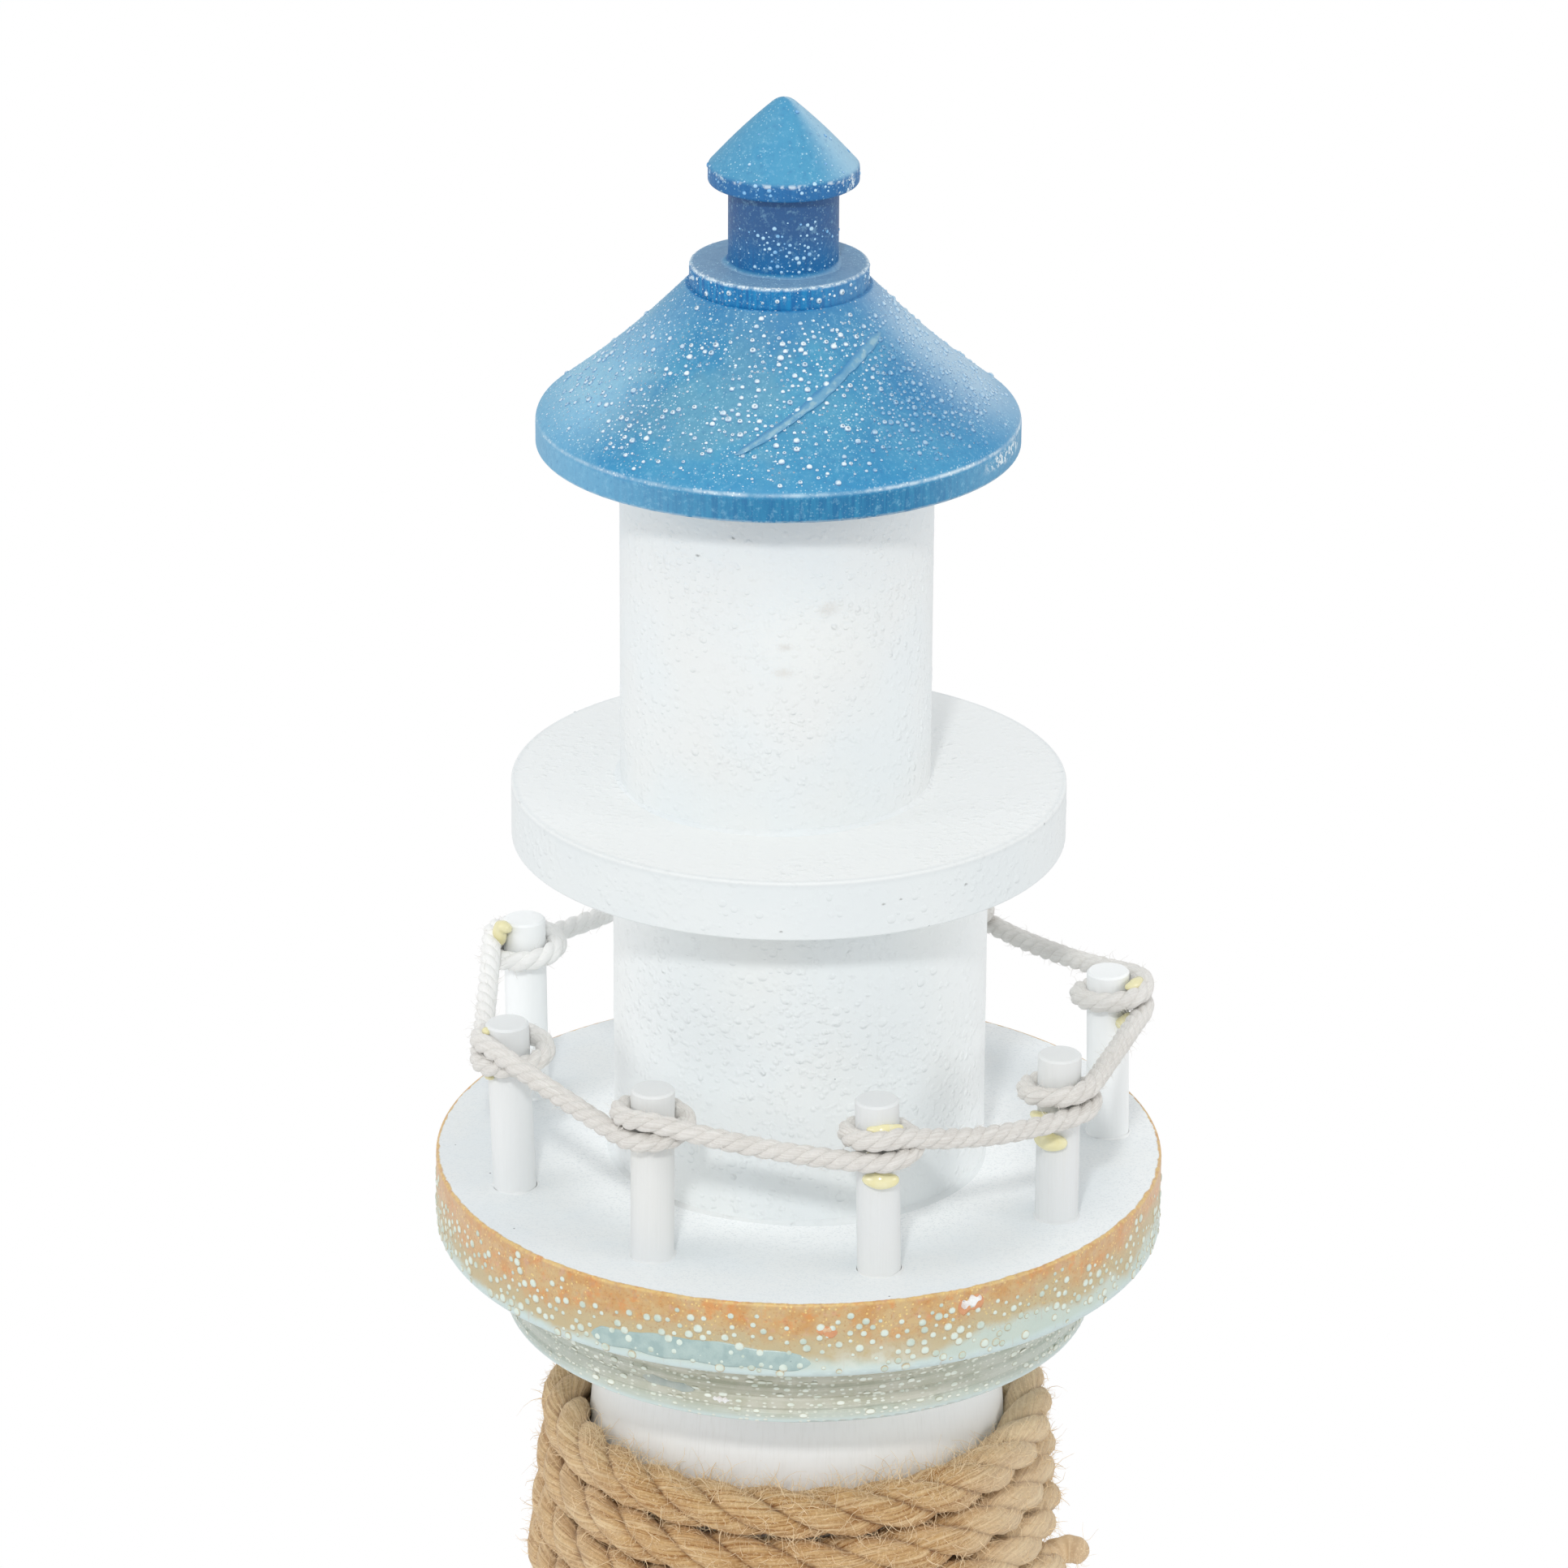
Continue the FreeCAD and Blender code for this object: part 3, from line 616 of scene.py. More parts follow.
def bare_wood():
    grain = new_finish("bare_beech").stretched(1.6, 1.6, 0.06).noise(1.0, 4.0, 0.6)
    return end_finish(grain.mix((214, 180, 134), (186, 146, 100)), 0.6 + grain * 0.15,
                      grain * 0.06)


hidden_wood = bare_wood()
print("hidden finishes start with", hidden_wood.name)

# %% Give every turned solid its finish
solid_finishes = {
    "base_felt": felt(), "base_screws": screw_steel(), "gallery_pin": hidden_wood,
    "upper_pin": hidden_wood, "roof_pin": hidden_wood, "base_plinth": plinth_finish,
    "base_step": base_step_finish, "tower_body": grain_white,
    "gallery_step_disc": disc_finish, "gallery_deck": deck_finish, "watch_room": room_white,
    "upper_gallery": gallery_white, "lamp_room": lamp_white, "roof": roof_blue,
    "finial": roof_blue,
}
post_nodes = ["rail_post_" + str(number + 1) for number in range(8)]
solid_finishes.update({node: post_white for node in post_nodes})
for node, finish in solid_finishes.items():
    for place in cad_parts[node].material_slots:
        place.material = finish
print("finished solids:", len(solid_finishes))

# %% [markdown]
# ## Making a piece
# A new piece is a mesh in millimetres, scaled to metres once, riding on the part's body. A
# piece that repeats something or follows a path is grown by a Geometry Nodes tree, whose
# result is turned into a plain mesh, because the export drops instances.


# %% Make a mesh, put it into the scene, and grow one with a tree
def bridged(shape, loops, ring=True):
    """Faces between each loop of vertices and the next."""
    for here, there in zip(loops, loops[1:]):
        for step in range(len(here) if ring else len(here) - 1):
            after = (step + 1) % len(here)
            shape.faces.new((here[step], here[after], there[after], there[step]))


def ended_mesh(name, shape, in_mm=True, smooth=True, **stored):
    """A shape in millimetres gets its faces turned outwards and comes out in metres."""
    if in_mm:
        bmesh.ops.recalc_face_normals(shape, faces=shape.faces)
        for vertex in shape.verts:
            vertex.co *= mm
    mesh = bpy.data.meshes.new(name)
    shape.to_mesh(mesh)
    shape.free()
    mesh.polygons.foreach_set("use_smooth", [smooth] * len(mesh.polygons))
    for label, values in stored.items():
        mesh.attributes.new(label, "FLOAT", "POINT").data.foreach_set("value", values)
    return mesh


def piece(name, mesh, finish=None):
    mesh.name = name
    if finish:
        mesh.materials.clear()
        mesh.materials.append(finish)
    made = bpy.data.objects.new(name, mesh)
    bpy.context.collection.objects.link(made)
    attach(made, "root")
    print(name, "faces", len(mesh.polygons))
    return made


def growing_tree(name, inputs):
    """The input wires of a new Geometry Nodes tree with named inputs."""
    tree = bpy.data.node_groups.new(name, "GeometryNodeTree")
    tree.interface.new_socket("Geometry", in_out="INPUT", socket_type="NodeSocketGeometry")
    for label, value in inputs.items():
        kind = "NodeSocketInt" if isinstance(value, int) else "NodeSocketFloat"
        tree.interface.new_socket(label, in_out="INPUT", socket_type=kind)
    tree.interface.new_socket("Geometry", in_out="OUTPUT", socket_type="NodeSocketGeometry")
    return Bench(tree).node("NodeGroupInput", out="Geometry")


def grown_piece(name, geometry, base_mesh, values, finish):
    """End a tree, run it on a mesh and keep the plain mesh that it grows."""
    bench = geometry.bench
    real = bench.node("GeometryNodeRealizeInstances", {"Geometry": geometry})
    dressed = bench.node("GeometryNodeSetMaterial", {"Geometry": real, "Material": finish})
    bench.node("NodeGroupOutput", {"Geometry": dressed})
    seedling = bpy.data.objects.new("seedling", base_mesh)
    bpy.context.collection.objects.link(seedling)
    modifier = seedling.modifiers.new("growth", "NODES")
    modifier.node_group = bench.tree
    for item in bench.tree.interface.items_tree:
        if item.item_type == "SOCKET" and item.in_out == "INPUT" and item.name in values:
            modifier[item.identifier] = values[item.name]
    view = bpy.context.evaluated_depsgraph_get()
    mesh = bpy.data.meshes.new_from_object(seedling.evaluated_get(view),
                                           preserve_all_data_layers=True, depsgraph=view)
    bpy.data.objects.remove(seedling)
    return piece(name, mesh)


# %% [markdown]
# ## Drops of paint that stand proud
# The roof, the rim and the step disc are covered with small round drops that were flicked
# on before the last coat. They catch the light, so they are geometry. Points are scattered
# on a copy of the solid, thinned by a rule that says where drops lie, and each point gets
# one small dome of a few dozen faces, in its own size.


# %% One dome with its foot sunk into the paint
def dome(rings, spokes):
    """rings are (radius, height) from the rim up. Both ends are closed. The stored crown
    grows from 0 at the rim to 1 at the tip, and low from 0 at the middle to 1 at the side
    that hangs down."""
    shape = bmesh.new()
    loops = [[shape.verts.new((radius * cos(2 * pi * step / spokes),
                               radius * sin(2 * pi * step / spokes), height))
              for step in range(spokes)] for radius, height in rings]
    foot = shape.verts.new((0, 0, rings[0][1]))
    tip_height = rings[-1][1] * 1.12
    tip = shape.verts.new((0, 0, tip_height))
    bridged(shape, loops)
    for step in range(spokes):
        after = (step + 1) % spokes
        shape.faces.new((foot, loops[0][after], loops[0][step]))
        shape.faces.new((tip, loops[-1][step], loops[-1][after]))
    crown = [max(0.0, vertex.co.z / tip_height) for vertex in shape.verts]
    low = [max(0.0, -vertex.co.x) for vertex in shape.verts]
    mesh = ended_mesh("dome", shape, in_mm=False, crown=crown, low=low)
    return bpy.data.objects.new("dome", mesh)


drop_shape = dome([(1.0, -0.25), (0.93, 0.12), (0.70, 0.40), (0.34, 0.58)], 10)
fine_shape = dome([(1.0, -0.25), (0.72, 0.36)], 6)
print("dome faces:", len(drop_shape.data.polygons), "fine:", len(fine_shape.data.polygons))


# %% Scatter drops on a solid
def scattered_drops(name, node, where, sizes, finish, flatness, stretch=1.0,
                    thinning=2.2, one_drop=drop_shape):
    """where(place) gives the share of the densest spacing. sizes has in mm the least
    spacing and the smallest and largest radius, and the seed. A thinning above 1 makes
    small drops more frequent than large ones."""
    sizes = dict(zip(("Spacing", "Smallest", "Largest", "Seed"), sizes))
    tried_per_place = 1.3
    entry = growing_tree(name, sizes)
    bench, seed = entry.bench, entry.out("Seed")
    spacing = entry.out("Spacing") * mm
    points = bench.node("GeometryNodeDistributePointsOnFaces",
                        {"Mesh": entry, "Distance Min": spacing,
                         "Density Max": tried_per_place / (spacing * spacing),
                         "Seed": seed}, "Points", distribute_method="POISSON")
    place = bench.position().stretched(1 / mm, 1 / mm, 1 / mm)
    kept = bench.node("GeometryNodeDeleteGeometry",
                      {"Geometry": points, "Selection": bench.chance(seed + 9) > where(place)},
                      domain="POINT")
    small, large = entry.out("Smallest"), entry.out("Largest")
    size = (small + (large - small) * bench.chance(seed + 5) ** thinning) * mm
    upright = bench.node("FunctionNodeAlignRotationToVector",
                         {"Rotation": points.out("Rotation"), "Vector": (0.0, 0.0, 1.0)},
                         axis="X", pivot_axis="Z")
    shape = bench.node("GeometryNodeObjectInfo", {"Object": one_drop}, "Geometry")
    drops = bench.node("GeometryNodeInstanceOnPoints",
                       {"Points": kept, "Instance": shape, "Rotation": upright,
                        "Scale": bench.joined(size, size * stretch, size * flatness)})
    return grown_piece(name, drops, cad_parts[node].data.copy(), sizes, finish)


# %% [markdown]
# ## Finishes of the drops
# A drop on the roof is almost white on its crown where the last blue coat was rubbed, and
# blue at the far right where it was not, under a painted sheen. The drops on the rim are
# pale mint. A gentle change of tone from place to place, a painted shade on the side below
# and a pinhole here and there are enough for such small beads.


# %% Drop paints
def drop_paint(name, pale, deep, edge, shade, share_of_deep, pinhole=0.0, painted_sheen=None):
    place = new_finish(name)
    crown, low = place.bench.painted("crown"), place.bench.painted("low")
    tone = share_of_deep(place).mix(pale, deep)
    if painted_sheen:
        _, angle, height = place.around_axis(roof_x)
        # Painted sheen over the drops at the far right of the roof
        sheen_share = painted_sheen(angle, height)
        tone = tone.coats((sheen_share * 0.8, (196, 220, 234)))
        edge = (sheen_share * 0.45).mix(edge, (172, 200, 219))
    hole = crown.rise(0.82, 0.94) * place.noise(0.3).rise(0.48, 0.54)
    tone = tone.coats((crown.rise(0.75, 0.05) * 0.85, edge), (low.rise(0.3, 0.9) * 0.75, shade),
                      (hole * pinhole, (58, 100, 136)))
    skin = place.noise(1.1)
    return end_finish(tone, 0.26 + skin * 0.14, skin * 0.05)


def roof_tone(place):
    """Pale over the front, blue towards the right and where the coat was left whole."""
    _, angle, height = place.around_axis(roof_x)
    right = (angle - (height - roof_ridge) * 1.6).rise(4.0, 30.0)
    left = angle.fall(-80.0, -40.0)
    patch = place.noise(0.8, 1.0).rise(0.50, 0.60)
    return ((right * 0.65 + left * 0.25) * not_behind(angle) + patch * 0.4).capped()


def rim_tone(place):
    return place.noise(0.25).rise(0.42, 0.62) * 0.7


roof_drop_paint = drop_paint("roof_drop_paint", (228, 240, 244), (96, 160, 200),
                             (74, 140, 186), (46, 110, 162), roof_tone, 0.8, roof_painted_sheen)
rim_drop_paint = drop_paint("rim_drop_paint", (216, 228, 218), (182, 198, 184),
                            (196, 172, 130), (172, 152, 120), rim_tone)
step_drop_paint = drop_paint("step_drop_paint", (236, 240, 230), (208, 216, 202),
                             (186, 182, 156), (162, 158, 134), rim_tone)
cap_drop_paint = drop_paint("cap_drop_paint", (184, 220, 240), (70, 156, 214),
                            (48, 122, 182), (26, 90, 150), rim_tone)
print("drop paints made")


# %% Where the drops lie on the roof
def on_roof_slope(place):
    radius, angle, height = place.around_axis(roof_x)
    band = (height.band(roof_ridge, roof_ridge + 5.0, collar_foot - 3.0, collar_foot - 0.8)
            * (radius > 15.0))
    patch = place.noise(0.075).rise(0.36, 0.58)
    right = angle.rise(10.0, 40.0)
    left = angle.rise(-38.0, -70.0)
    outline = 1 - abs(angle).rise(84.0, 108.0) * abs(angle).rise(150.0, 118.0) * 0.85
    collar = ((height > collar_foot + 0.9) * (height < collar_top - 0.9)
              * (radius > collar_radius - 0.4)) * 0.45
    return band * (patch * 0.50 + right * 0.25 + 0.26) * (1 - left * 0.45) * outline + collar


def on_whole_slope(place):
    radius, angle, height = place.around_axis(roof_x)
    band = height.rise(roof_ridge - 0.2, roof_ridge + 2.0) * (radius > 15.0)
    patch = place.noise(0.09).rise(0.36, 0.60)
    return band * (patch * 0.45 + angle.rise(-20.0, -60.0) * 0.4 + 0.2)


def on_cap_and_neck(place):
    radius, angle, height = place.around_axis(cap_x)
    rim = height.near(cap_ridge - 0.8, 2.2) * (radius > cap_radius - 1.2) * 0.30
    neck = (height.fall(collar_top + 6.5, collar_top + 11.5) * (height > collar_top + 0.6)
            * (radius > 9.0) * (radius < 10.5) * angle.near(8.0, 95.0)) * 0.85
    return rim + neck + height.rise(cap_ridge + 1, cap_ridge + 3) * 0.05


scattered_drops("roof_paint_drops", "roof", on_roof_slope, (1.0, 0.28, 0.70, 11),
                roof_drop_paint, 0.95)
scattered_drops("roof_paint_spray", "roof", on_whole_slope, (0.82, 0.13, 0.26, 17),
                roof_drop_paint, 0.8, one_drop=fine_shape)
scattered_drops("cap_paint_drops", "finial", on_cap_and_neck, (0.76, 0.18, 0.50, 5),
                cap_drop_paint, 0.7)


# %% Where the drops lie on the rims
def on_deck_rim(place):
    radius, _, height = place.around_axis(deck_x)
    sparse_above = height.rise(deck_foot + 8.5, deck_foot + 12.5)
    band = height.band(deck_foot + 0.6, deck_foot + 2.0, deck_top - 3.0, deck_top - 0.8)
    patch = place.noise(0.06).rise(0.34, 0.56)
    return ((radius > deck_radius - 0.3) * band * (patch * 0.3 + 0.68)
            * (1 - sparse_above * 0.66))


def on_step_rim(place):
    radius, angle, height = place.around_axis(disc_x)
    rows = place.bench.joined(angle * 0.01, 0.0, height * 0.9).noise(1.0).rise(0.45, 0.6)
    return ((radius > disc_radius - 0.6) * (rows * 0.8 + 0.2)
            * height.rise(disc_foot + 1.0, disc_foot + 2.0))


scattered_drops("deck_paint_drops", "gallery_deck", on_deck_rim, (1.44, 0.38, 1.04, 23),
                rim_drop_paint, 0.46, thinning=1.15)
scattered_drops("step_paint_drops", "gallery_step_disc", on_step_rim, (1.12, 0.28, 0.62, 31),
                step_drop_paint, 0.34, stretch=1.7, thinning=1.5)


# %% [markdown]
# ## Lumps in the white skin
# The chalky white dried with flat lumps where it was thickest: on the left of the lamp room
# and over most of the watch room. They are the same scattered domes, wide and very low.


# %% Lumps on the two rooms and the upper gallery
def on_room_side(axis_x, room_radius, foot, top):
    def where(place):
        radius, _, height = place.around_axis(axis_x)
        band = height.band(foot + 2.0, foot + 6.0, top - 6.0, top - 2.0)
        return (radius > room_radius - 0.3) * band * place.noise(0.05).rise(0.46, 0.60)
    return where


def on_lamp_room(place):
    """Bubbles crowd at the upper left of the lamp room."""
    radius, angle, height = place.around_axis(lamp_x)
    bubbles = angle.near(-34.0, 34.0) * height.near(516.0, 20.0)
    return (on_room_side(lamp_x, lamp_radius, lamp_foot, lamp_top)(place)
            + (radius > lamp_radius - 0.3) * bubbles * 0.8)


scattered_drops("lamp_room_lumps", "lamp_room", on_lamp_room, (1.4, 0.32, 0.85, 3),
                lamp_white, 0.20)
scattered_drops("watch_room_lumps", "watch_room",
                on_room_side(watch_x, watch_radius, watch_foot, watch_top),
                (1.6, 0.4, 1.1, 8), room_white, 0.11)
scattered_drops("upper_gallery_lumps", "upper_gallery",
                on_room_side(upper_x, upper_radius, upper_foot - 3.0, upper_top + 3.0),
                (1.7, 0.4, 1.0, 14), gallery_white, 0.13)


# %% [markdown]
# ## Runs and chips of paint
# Some paint ran before it dried: a grey-green run along the foot of the deck's rim, one on
# the step disc, and a ridge that crosses the roof on a slant. Each is a thin lens that lies
# on the turned surface. A grid of points is wrapped round the axis, and its thickness falls
# to nothing at its border, so it has no visible wall.


# %% A lens of paint on a turned surface
def paint_lens(name, axis_x, surface, middle_line, half_width, ends, thickness, finish,
               steps=(24, 6), ripple=0.0):
    """surface(height) gives the radius of the face below, middle_line(t) the angle and the
    height along the run, and half_width(t) its half width. A surface that is upright is
    given as a number. A ripple above 0 raises beads along the run."""
    def surface_radius(height):
        return surface(height) if callable(surface) else surface

    shape = bmesh.new()
    along, across = steps
    slight, sunk, inner_share = 0.01, 0.03, 0.996
    rows = []
    for place in range(along + 1):
        t = place / along
        angle, height = middle_line(t)
        before = middle_line(max(0.0, t - slight))
        after = middle_line(min(1.0, t + slight))
        run_x = radians(after[0] - before[0]) * surface_radius(height)
        run_z = after[1] - before[1]
        length = max(1e-6, (run_x ** 2 + run_z ** 2) ** 0.5)
        end_share = min(1.0, (1 - abs(2 * t - 1)) * ends)
        row = []
        for step in range(across + 1):
            aside = 2 * step / across - 1
            offset = aside * half_width(t) * end_share ** 0.5
            spot_height = height + offset * run_x / length
            spot_angle = radians(angle) - offset * run_z / length / surface_radius(height)
            rise = thickness * (1 - aside ** 2) ** 0.5 * end_share ** 0.5
            rise *= 1 + ripple * sin(88 * t + 2 * sin(9 * t))
            radius = surface_radius(spot_height) + rise - sunk
            row.append((axis_x + radius * sin(spot_angle), -radius * cos(spot_angle),
                        spot_height))
        rows.append(row)
    outer = [[shape.verts.new(spot) for spot in row] for row in rows]
    inner = [[shape.verts.new((axis_x + (x - axis_x) * inner_share, y * inner_share, z))
              for x, y, z in row] for row in rows]
    crown = [1 - abs(2 * step / across - 1) for row in rows for step in range(across + 1)]
    bridged(shape, list(zip(*outer)), ring=False)
    bridged(shape, inner, ring=False)
    border = ([(place, 0) for place in range(along)] + [(along, step) for step in range(across)]
              + [(place, across) for place in range(along, 0, -1)]
              + [(0, step) for step in range(across, 0, -1)])
    bridged(shape, [(outer[place][step], inner[place][step])
                    for place, step in border + border[:1]], ring=False)
    crown += [0.0] * len(crown)
    return piece(name, ended_mesh(name, shape, crown=crown), finish)


def run_paint(name, light, dark, flank_shade=None, crest=None):
    """flank and crest are the colours along the border and along the middle: a painted shade at
    the border and a painted highlight on the crest.
    """
    place = new_finish(name)
    cloud = place.noise(0.35, 4.0, 0.65)
    tone = cloud.rise(0.35, 0.65).mix(light, dark)
    if crest:
        crown = place.bench.painted("crown")
        beads = place.noise(0.62).rise(0.42, 0.60)
        tone = tone.coats((crown.rise(0.5, 0.15), flank_shade),
                          (crown.rise(0.3, 0.8) * (beads * 0.75 + 0.25), crest))
    pit = place.cells(0.45).fall(0.03, 0.08) * 0.6
    return end_finish(tone.coats((pit, (110, 136, 142))), 0.22 + cloud * 0.12,
                      cloud * 0.12 - pit * 0.05)


grey_run_paint = run_paint("grey_run_paint", (176, 196, 192), (157, 180, 178))
slate_run_paint = run_paint("slate_run_paint", (184, 190, 182), (168, 178, 172))
chip_paint = run_paint("chip_paint", (240, 242, 242), (216, 204, 196))
red_chip_paint = run_paint("red_chip_paint", (218, 160, 114), (206, 144, 104))
heart_paint = run_paint("heart_paint", (224, 188, 152), (212, 172, 132))
blue_run_paint = run_paint("blue_run_paint", (92, 154, 190), (80, 144, 184),
                           (76, 140, 184), (140, 180, 198))
print("run paints made")


# %% The run on the deck, the one on the step disc, the chips, and the ridge on the roof
def roof_slope_radius(height):
    share = (height - roof_ridge) / (collar_foot - roof_ridge)
    return roof_radius + (16.8 - roof_radius) * share - 5.2 * share * (1 - share)


def roof_ridge_line(t):
    """From the right under the collar down to the middle of the front, on a slant."""
    return 57.5 - 69.0 * t ** 0.62, 560.2 - 14.6 * t


paint_lens("deck_paint_run", deck_x, deck_radius,
           lambda t: (-33.5 + 35.5 * t, 383.4 + 1.1 * sin(3.0 * t) - 0.5 * t),
           lambda t: 1.5 + 0.9 * sin(pi * t) + 0.2 * sin(23 * t), 9.0, 0.22,
           grey_run_paint, (72, 10))
paint_lens("step_paint_run", disc_x, disc_radius,
           lambda t: (-31.0 + 11.0 * t, 369.9 - 0.6 * t),
           lambda t: 0.85 + 0.15 * sin(9 * t), 2.5, 0.12, slate_run_paint,
           (36, 8))
paint_lens("deck_red_chip", deck_x, deck_radius, lambda t: (24.9 + 4.6 * t, 390.9 + 1.1 * t),
           lambda t: 1.45 + 0.3 * sin(11 * t), 3.0, 0.16, red_chip_paint)
paint_lens("deck_white_chip", deck_x, deck_radius + 0.1,
           lambda t: (25.4 + 3.6 * t, 391.5 + 1.0 * t), lambda t: 0.95 + 0.4 * sin(14 * t),
           2.0, 0.30, chip_paint)
paint_lens("deck_small_chip", deck_x, deck_radius,
           lambda t: (2.7 + 3.2 * t, 389.5 + 0.3 * sin(6 * t)),
           lambda t: 1.1 + 0.2 * sin(12 * t), 2.5, 0.22, red_chip_paint)
paint_lens("deck_small_chip_heart", deck_x, deck_radius + 0.12,
           lambda t: (3.6 + 1.5 * t, 389.8), lambda t: 0.5 + 0.1 * sin(9 * t), 2.5, 0.18,
           heart_paint, (16, 6))
paint_lens("step_white_chip", disc_x, disc_radius,
           lambda t: (-16.3 + 3.3 * t, 368.3 - 0.15 * t),
           lambda t: 0.55 + 0.22 * sin(19 * t), 2.0, 0.20, chip_paint)
paint_lens("roof_paint_run", roof_x, roof_slope_radius, roof_ridge_line,
           lambda t: (0.80 + 0.10 * sin(17 * t) + 0.05 * sin(41 * t)) * (1 - 0.45 * t ** 3),
           12.0, 0.75, blue_run_paint, (144, 10), ripple=0.22)

# %% [markdown]
# ## The posts in their holes
# Each post is a dowel glued into a blind hole, and the white paint that ran down it left an
# uneven fillet round its foot. Where the fillet is broken, the dark gap of the hole shows.
# The axes are measured on the posts' own meshes: the middle of the top ring and of the foot.


# %% Measure the posts
def post_axis(node):
    spots = [vertex.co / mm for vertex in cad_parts[node].data.vertices]
    highest = max(spot.z for spot in spots)
    lowest = min(spot.z for spot in spots)
    tops = [spot for spot in spots if spot.z > highest - 0.5]
    feet = [spot for spot in spots if spot.z < lowest + 0.5]
    top, foot = (sum(ring, Vector()) / len(ring) for ring in (tops, feet))
    return foot, (top - foot).normalized()


posts = [post_axis(node) for node in post_nodes]
post_tops = [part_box(node)[1].z / mm for node in post_nodes]
post_radius = 4.0


def post_point(number, height):
    foot, axis = posts[number]
    return foot + axis * ((height - foot.z) / axis.z)


def around(angle, radius, height, centre):
    """A point at an angle from the front, growing towards +X."""
    turn = radians(angle)
    return Vector((centre.x + radius * sin(turn), centre.y - radius * cos(turn), height))


print("post tops", [round(top, 1) for top in post_tops])


# %% Fillets of paint round the feet
def paint_fillets(name, rings, finish):
    """rings are (centre, radius, level, least width, broadest width, spokes). The width
    goes round in three long waves and seven short ones."""
    shape = bmesh.new()
    for number, (centre, foot_radius, level, least, broadest, spokes) in enumerate(rings):
        loops = []
        for spoke in range(spokes):
            angle = 360 * spoke / spokes
            lump = (0.5 + 0.3 * sin(radians(3 * angle + 70 * number))
                    + 0.2 * sin(radians(7 * angle + 31 * number)))
            width = least + (broadest - least) * max(0.0, lump)
            rise = width * 0.75
            profile = ((foot_radius - least, -0.10), (foot_radius + width, -0.10),
                       (foot_radius + width * 0.85, 0.03),
                       (foot_radius + width * 0.35, rise * 0.35),
                       (foot_radius - 0.05, rise), (foot_radius - least, rise))
            loops.append([shape.verts.new(around(angle, radius, level + height, centre))
                          for radius, height in profile])
        bridged(shape, loops + loops[:1])
    piece(name, ended_mesh(name, shape), finish)


paint_fillets("post_foot_paint",
              [(post_point(number, deck_top), post_radius, deck_top, 0.10, 0.62, 56)
               for number in range(len(posts))], post_white)
paint_fillets("room_foot_paint",
              [(Vector((watch_x, 0, 0)), watch_radius, deck_top, 0.6, 1.5, 160),
               (Vector((lamp_x, 0, 0)), lamp_radius, upper_top, 0.6, 1.4, 160)],
              lamp_white)
paint_fillets("finial_foot_paint", [(Vector((cap_x, 0, 0)), 9.95, collar_top, 0.6, 1.5, 90)],
              roof_blue)

# %% [markdown]
# ## The path of the cord
# One cotton cord runs round the gallery with a full turn on every post, and sags a little
# in between. Its line is a NURBS curve: a control point every 30 degrees on each post and a
# few along each span. A smooth curve bends as cord does, where points joined by straight
# runs would look like wire. The strands need the line as points, and `new_from_object`
# reads them from the curve.

# %% Cord sizes and the way round the posts
cord_radius = 1.9
cord_gap = 0.2
wrap_radius = post_radius + cord_gap + cord_radius
wrap_climb = 2 * cord_radius + 0.5
# Below each post's top, in cord widths, and the sag of each span as a share of its length
wrap_drops = (0.83, 0.76, 0.97, 1.39, 1.37, 0.66, 1.05, 1.05)
span_sags = (0.02, 0.01, 0.03, 0.05, 0.01, 0.03, 0.04, 0.03)
control_step = 30.0
control_reach = 1 / cos(radians(control_step / 2))
last_wrap_overlap = 130.0


def span_heading(number):
    way = posts[(number + 1) % len(posts)][0] - posts[number][0]
    return degrees(atan2(way.y, way.x)) % 360


def wrap_angles(number):
    arrive, leave = span_heading(number - 1), span_heading(number)
    leave += 360 * ceil((arrive - leave) / 360)
    return arrive, leave + 360


def wrap_point(number, angle, reach=1.0):
    leave = wrap_angles(number)[1]
    height = (post_tops[number] - wrap_drops[number] * 2 * cord_radius
              - (leave - angle) / 360 * wrap_climb)
    return around(angle, wrap_radius * reach, height, post_point(number, height))


def wrap_points(number, first, last):
    steps = max(1, round((last - first) / control_step))
    return [wrap_point(number, first + (last - first) * step / steps, control_reach)
            for step in range(steps + 1)]


def span_points(number):
    following = (number + 1) % len(posts)
    start = wrap_point(number, wrap_angles(number)[1])
    end = wrap_point(following, wrap_angles(following)[0])
    sag = (end - start).length * span_sags[number]
    points = [start.lerp(end, share) for share in (0.2, 0.4, 0.6, 0.8)]
    for spot, share in zip(points, (0.2, 0.4, 0.6, 0.8)):
        spot.z -= 4 * sag * share * (1 - share)
    return points


def cord_points():
    last = len(posts) - 1
    arrive, leave = wrap_angles(last)
    points = wrap_points(last, leave - last_wrap_overlap, leave) + span_points(last)
    for number in range(last):
        points += wrap_points(number, *wrap_angles(number)) + span_points(number)
    return points + wrap_points(last, arrive, arrive + last_wrap_overlap)


def smooth_path(name, points, resolution=5):
    """A NURBS curve through the space of these points, read back as a chain of points."""
    data = bpy.data.curves.new(name, "CURVE")
    data.dimensions = "3D"
    line = data.splines.new("NURBS")
    line.points.add(len(points) - 1)
    for control, point in zip(line.points, points):
        control.co = (*(point * mm), 1.0)
    line.order_u = 3
    line.use_endpoint_u = True
    line.resolution_u = resolution
    drawn = bpy.data.objects.new(name, data)
    bpy.context.collection.objects.link(drawn)
    chain = bpy.data.meshes.new_from_object(drawn)
    bpy.data.objects.remove(drawn)
    spots = [vertex.co for vertex in chain.vertices]
    length = sum((there - here).length for here, there in zip(spots, spots[1:]))
    print(name, "points", len(spots), "length in mm", round(length / mm, 1))
    return chain


cord_path = smooth_path("cord_path", cord_points())


